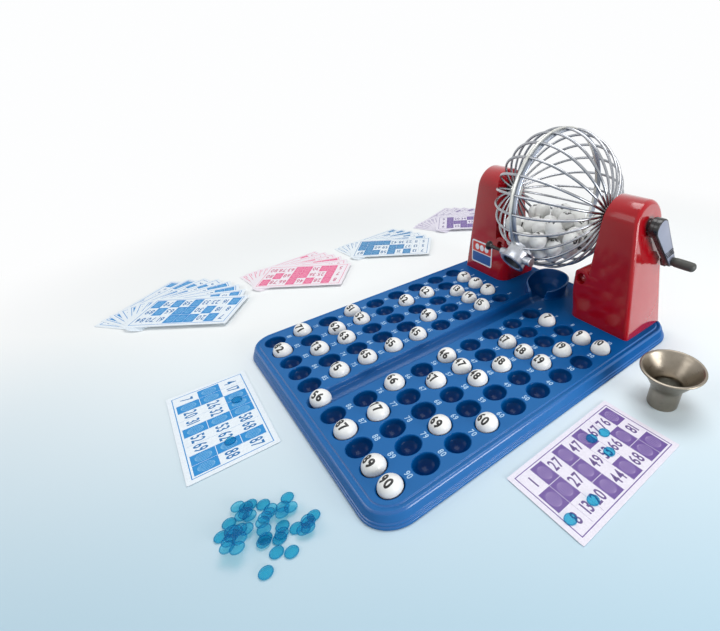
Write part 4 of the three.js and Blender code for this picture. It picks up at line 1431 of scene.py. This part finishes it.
CARD_HALF = (66, 37.5)
CARD_CORNER = 1.2
CARD_THICKNESS = 0.55
FRAME_HALF = (61.6, 33.1)
FRAME_WIDTH = 0.8
CELL = (13.2, 20.6)
CELL_COLUMNS = 9
CELL_ROWS = 3
BLANKS = 4
CELL_MARGIN = 0.25
CARD_PRINT_LIFT = 0.012
CARD_DIGITS = 11.5
OVAL_LINES = (4.6, 2.8, 1.0, -1.0, -2.8, -4.6)
OVAL_HEIGHT = 6.8
OVAL_STEPS = 16
LINE_HALF = 0.17
GRID_HALF = 0.09
GRID_REACH = 30.8
CARD_PLACES = ("blue", -55, -249.54, -2, 3), ("purple", 209.95, -24, 91, 8)


def cell_lines():
    """A flat oval of thin upright lines, which fills a cell that has no number."""
    points, faces = [], []
    for width in OVAL_LINES:
        start = len(points)
        for a in spaced(-math.pi / 2, math.pi / 2, OVAL_STEPS):
            x, y = width * math.cos(a), OVAL_HEIGHT * math.sin(a)
            points += [(x - LINE_HALF, y, 0), (x + LINE_HALF, y, 0)]
        for k in range(start, start + 2 * OVAL_STEPS, 2):
            faces.append((k, k + 1, k + 3, k + 2))
    return points, faces


def card_print(seed):
    """A card round the origin with X along it and its looks in the order of its inks."""
    chance = random.Random(seed)
    half_x, half_y = CARD_HALF
    plate = rounded_plate(-half_x, -half_y, half_x, half_y, CARD_CORNER, 0, CARD_THICKNESS, 0.1)
    shape = Shape().add(plate)
    top = CARD_THICKNESS + CARD_PRINT_LIFT

    def flat(x0, y0, x1, y1):
        shape.add(([(x0, y0, top), (x1, y0, top), (x1, y1, top), (x0, y1, top)], [(0, 1, 2, 3)]), 1)

    x, y = FRAME_HALF
    flat(-x, y - FRAME_WIDTH, x, y)
    flat(-x, -y, x, -y + FRAME_WIDTH)
    flat(-x, -y + FRAME_WIDTH, -x + FRAME_WIDTH, y - FRAME_WIDTH)
    flat(x - FRAME_WIDTH, -y + FRAME_WIDTH, x, y - FRAME_WIDTH)
    wide, tall = CELL
    reach_x, reach_y = wide / 2 - CELL_MARGIN, tall / 2 - CELL_MARGIN
    blanks = [set(chance.sample(range(CELL_COLUMNS), BLANKS)) for row in range(CELL_ROWS)]
    for row in range(CELL_ROWS):
        for column in range(CELL_COLUMNS):
            x, y = (column - CELL_COLUMNS // 2) * wide, (CELL_ROWS // 2 - row) * tall
            if column in blanks[row]:
                flat(x - reach_x, y - reach_y, x + reach_x, y + reach_y)
                shape.add(moved(cell_lines(), shift(x, y, top + 0.01)), 2)
            else:
                number = column * 10 + chance.randint(1 if column == 0 else 0, 9)
                shape.add(number_at(number, CARD_DIGITS, shift(x, y, top), CARD_NARROW), 3)
    for line in range(1, CELL_COLUMNS):
        x = (line - CELL_COLUMNS / 2) * wide
        flat(x - GRID_HALF, -GRID_REACH, x + GRID_HALF, GRID_REACH)
    return shape


def make_cards():
    for name, x, y, turn, seed in CARD_PLACES:
        shape = Shape().take(card_print(seed), shift(x, y) @ spin(turn, "Z"))
        piece(f"printed_{name}_card", shape, "base", inks[name], f"{name}_card", f"card_{name}", 40)


# The fans from near to far: node, hue, cards, degrees from card to card, slot and turn of the print.
FANS = (
    ("near_blue_fan", "blue", 8, 11, "card_blue", 180),
    ("pink_fan", "pink", 6, 9, "card_pink", 180),
    ("far_blue_fan", "pale", 6, 9, "card_blue", 180),
    ("purple_fan", "purple", 8, 9, "card_purple", 0),
)
FAN_X = -316.45
FAN_START_Y = -284.0
FAN_GAP = 5
FAN_FIRST_TURN = 52
FAN_PIVOT = 14
FAN_RISE = 0.6
FAN_SEED = 40
SEEDS_FOR_EACH_FAN = 10


def make_fans():
    length, width = 2 * CARD_HALF[0], 2 * CARD_HALF[1]
    inward = width - FAN_PIVOT
    reach = math.hypot(length - FAN_PIVOT, inward)
    middle = shift(length / 2 - FAN_PIVOT, width / 2 - FAN_PIVOT)
    fan_y = FAN_START_Y
    for k, (node, hue, count, step, slot, facing) in enumerate(FANS):
        if k:
            turn = math.radians(FAN_FIRST_TURN + (count - 1) * step)
            fan_y += reach + FAN_PIVOT * math.sin(turn) - inward * math.cos(turn) + FAN_GAP
        shape = Shape()
        for j in range(count):
            turn = spin(FAN_FIRST_TURN + (count - 1 - j) * step, "Z")
            place = shift(FAN_X, fan_y) @ turn @ shift(0, 0, j * FAN_RISE) @ middle
            seed = FAN_SEED + SEEDS_FOR_EACH_FAN * k + j
            shape.take(card_print(seed), place @ spin(facing, "Z"))
        piece(f"printed_{node}", shape, "base", inks[hue], node, slot, 40)


make_cards()
make_fans()


# Chips

CHIP_FACES = [(0, 0), (4.5, 0)], [(4.1, 1.0), (0, 1.0)]
CHIP_RIM = [(4.5, 0), (4.9, 0.25), (4.9, 0.95), (4.6, 1.2), (4.3, 1.2), (4.1, 1.0)]
CHIP_STEP = 1.22
CHIP_LAP = 8.6
CHIP_LIFT = 0.02
CHIP_SEED = 21
CHIP_LEAN = 2

# Where the chips of the pile lie, in the order in which they fell.
CHIP_SPOTS = (
    (74.1, -230.6), (80.6, -236.1), (86.3, -231.6), (87.6, -238.2), (67.9, -247.0), (77.7, -243.8),
    (81.4, -246.2), (61.3, -254.6), (62.3, -257.7), (58.9, -262.4), (68.8, -262.1), (74.0, -257.5),
    (70.8, -259.1), (67.3, -271.4), (74.6, -278.6), (75.9, -271.5), (79.7, -266.2), (83.4, -262.4),
    (81.1, -269.1), (86.8, -251.7), (84.8, -249.1), (95.8, -241.9), (97.0, -254.6), (99.8, -256.1),
    (94.6, -252.7), (103.9, -246.7), (102.0, -244.2), (86.7, -274.2), (85.2, -271.3), (92.0, -267.6),
    (94.0, -275.8), (100.1, -270.5), (112.7, -251.8), (119.3, -243.7), (102.6, -221.1), (104.0, -225.9),
    (107.1, -226.1), (104.1, -234.6), (111.2, -231.0), (112.9, -228.0),
)
PILE_MIDDLE = (88, -251)
PILE_REACH = 27
LOOSE_CHIPS = (
    (122, -262, 0), (-72.5, -229.1, 0.6), (-18, -249, 0.6), (229.7, -80.5, 0.6), (230.9, -55.6, 0.6),
    (193.1, -7.3, 0.6), (196.1, 6.3, 0.6), (211.6, -8.2, 0.6),
)


def add_chip(shape, x, y, z, lean=0.0, toward=0.0):
    place = shift(x, y, z + CHIP_LIFT) @ spin(toward, "Z") @ spin(lean, "X")
    for face in CHIP_FACES:
        shape.add(moved(lathe(face, 32), place))
    shape.add(moved(lathe(CHIP_RIM, 32), place), 1)


def make_chips():
    chance = random.Random(CHIP_SEED)
    placed = []
    pile, loose = Shape(), Shape()
    for spot in CHIP_SPOTS:
        under = [z for other, z in placed if math.dist(other, spot) < CHIP_LAP]
        z = max(under) + CHIP_STEP if under else 0.0
        placed.append((spot, z))
        near = math.dist(spot, PILE_MIDDLE) < PILE_REACH
        lean = chance.uniform(-CHIP_LEAN, CHIP_LEAN) if z else 0
        add_chip(pile if near else loose, *spot, z, lean, chance.uniform(0, 360))
    for place in LOOSE_CHIPS:
        add_chip(loose, *place)
    looks = [chip_clear, chip_rim]
    piece("scattered_chips", pile, "base", looks, "chip_pile", "chip_turquoise", 30)
    piece("loose_chips", loose, "base", looks, slot="chip_turquoise", sharp=30)


make_chips()


# Floor, light and world

AMBIENT = 0.37
BACKDROP = (0.985, 0.99, 0.995, 1)
FLOOR_BACK = (0.94, 0.97, 0.975, 1)
FLOOR_FRONT = (0.42, 0.625, 0.75, 1)
FLOOR_AHEAD = (0.783, -0.622, 0)
FLOOR_SHADE = (-0.04, 0.37)
FLOOR_FADE = (0.42, 0.8)
FLOOR_HALF = 6
FLOOR_Z = -0.0005


def shown_strength(tree):
    """The strength of the white round the game: 1 for what the camera, a reflection or a clear surface
    shows, and the ambient level for the light that it gives."""
    path = tree.nodes.new("ShaderNodeLightPath")
    shown = path.outputs["Is Camera Ray"]
    for ray in ("Is Glossy Ray", "Is Transmission Ray"):
        shown = add_node(tree, "Math", shown, path.outputs[ray], setup={"operation": "MAXIMUM"})
    return add_node(tree, "MapRange", shown, 0, 1, AMBIENT, 1)


def make_floor():
    corners = [(x * FLOOR_HALF, y * FLOOR_HALF, 0) for x, y in ((-1, -1), (1, -1), (1, 1), (-1, 1))]
    mesh = bpy.data.meshes.new("floor")
    mesh.from_pydata(corners, [], [(0, 1, 2, 3)])
    look = Look("floor")
    look.set(Roughness=0.9, Specular_IOR_Level=0.1)

    # Pale blue before the game and white behind it.
    ahead = look.add("VectorMath", look.place, FLOOR_AHEAD, setup={"operation": "DOT_PRODUCT"})
    ahead = look.add("Math", look.noise(3, 2), 0.03, ahead, setup={"operation": "MULTIPLY_ADD"})
    look.tint(look.add("MapRange", ahead, *FLOOR_SHADE), FLOOR_BACK, FLOOR_FRONT)

    # Far from the game the floor is the backdrop's even white.
    glow = look.add("Emission", BACKDROP, shown_strength(look.tree))
    reach = look.add("VectorMath", look.place, setup={"operation": "LENGTH"})
    fade = look.add("MapRange", reach, *FLOOR_FADE, setup={"interpolation_type": "SMOOTHSTEP"})
    look.show(look.add("MixShader", fade, look.shader.outputs["BSDF"], glow))

    mesh.materials.append(look.material)
    floor = new_object("floor", mesh)
    floor.location.z = FLOOR_Z


def area_light(name, place, target, width, height, power):
    data = bpy.data.lights.new(name, "AREA")
    data.shape = "RECTANGLE"
    data.size = width
    data.size_y = height
    data.energy = power
    lamp = new_object(name, data)
    lamp.location = place
    lamp.rotation_mode = "QUATERNION"
    lamp.rotation_quaternion = (Vector(target) - Vector(place)).to_track_quat("-Z", "Y")


def make_world():
    world = bpy.data.worlds.new("studio")
    bpy.context.scene.world = world
    world.use_nodes = True
    background = world.node_tree.nodes["Background"]
    background.inputs["Color"].default_value = BACKDROP
    fill(world.node_tree, background.inputs["Strength"], shown_strength(world.node_tree))


make_floor()
make_world()
area_light("overhead", (-0.04, 0.26, 1.15), (-0.03, 0.03, 0), 0.8, 0.6, 8.2)
area_light("right_side", (1.15, 0.25, 0.22), (0.13, 0.15, 0.08), 0.6, 0.4, 9)
area_light("front_fill", (-0.5, -1.1, 0.8), (0, 0, 0), 0.8, 0.6, 3.6)

bpy.context.scene.view_settings.view_transform = "Standard"
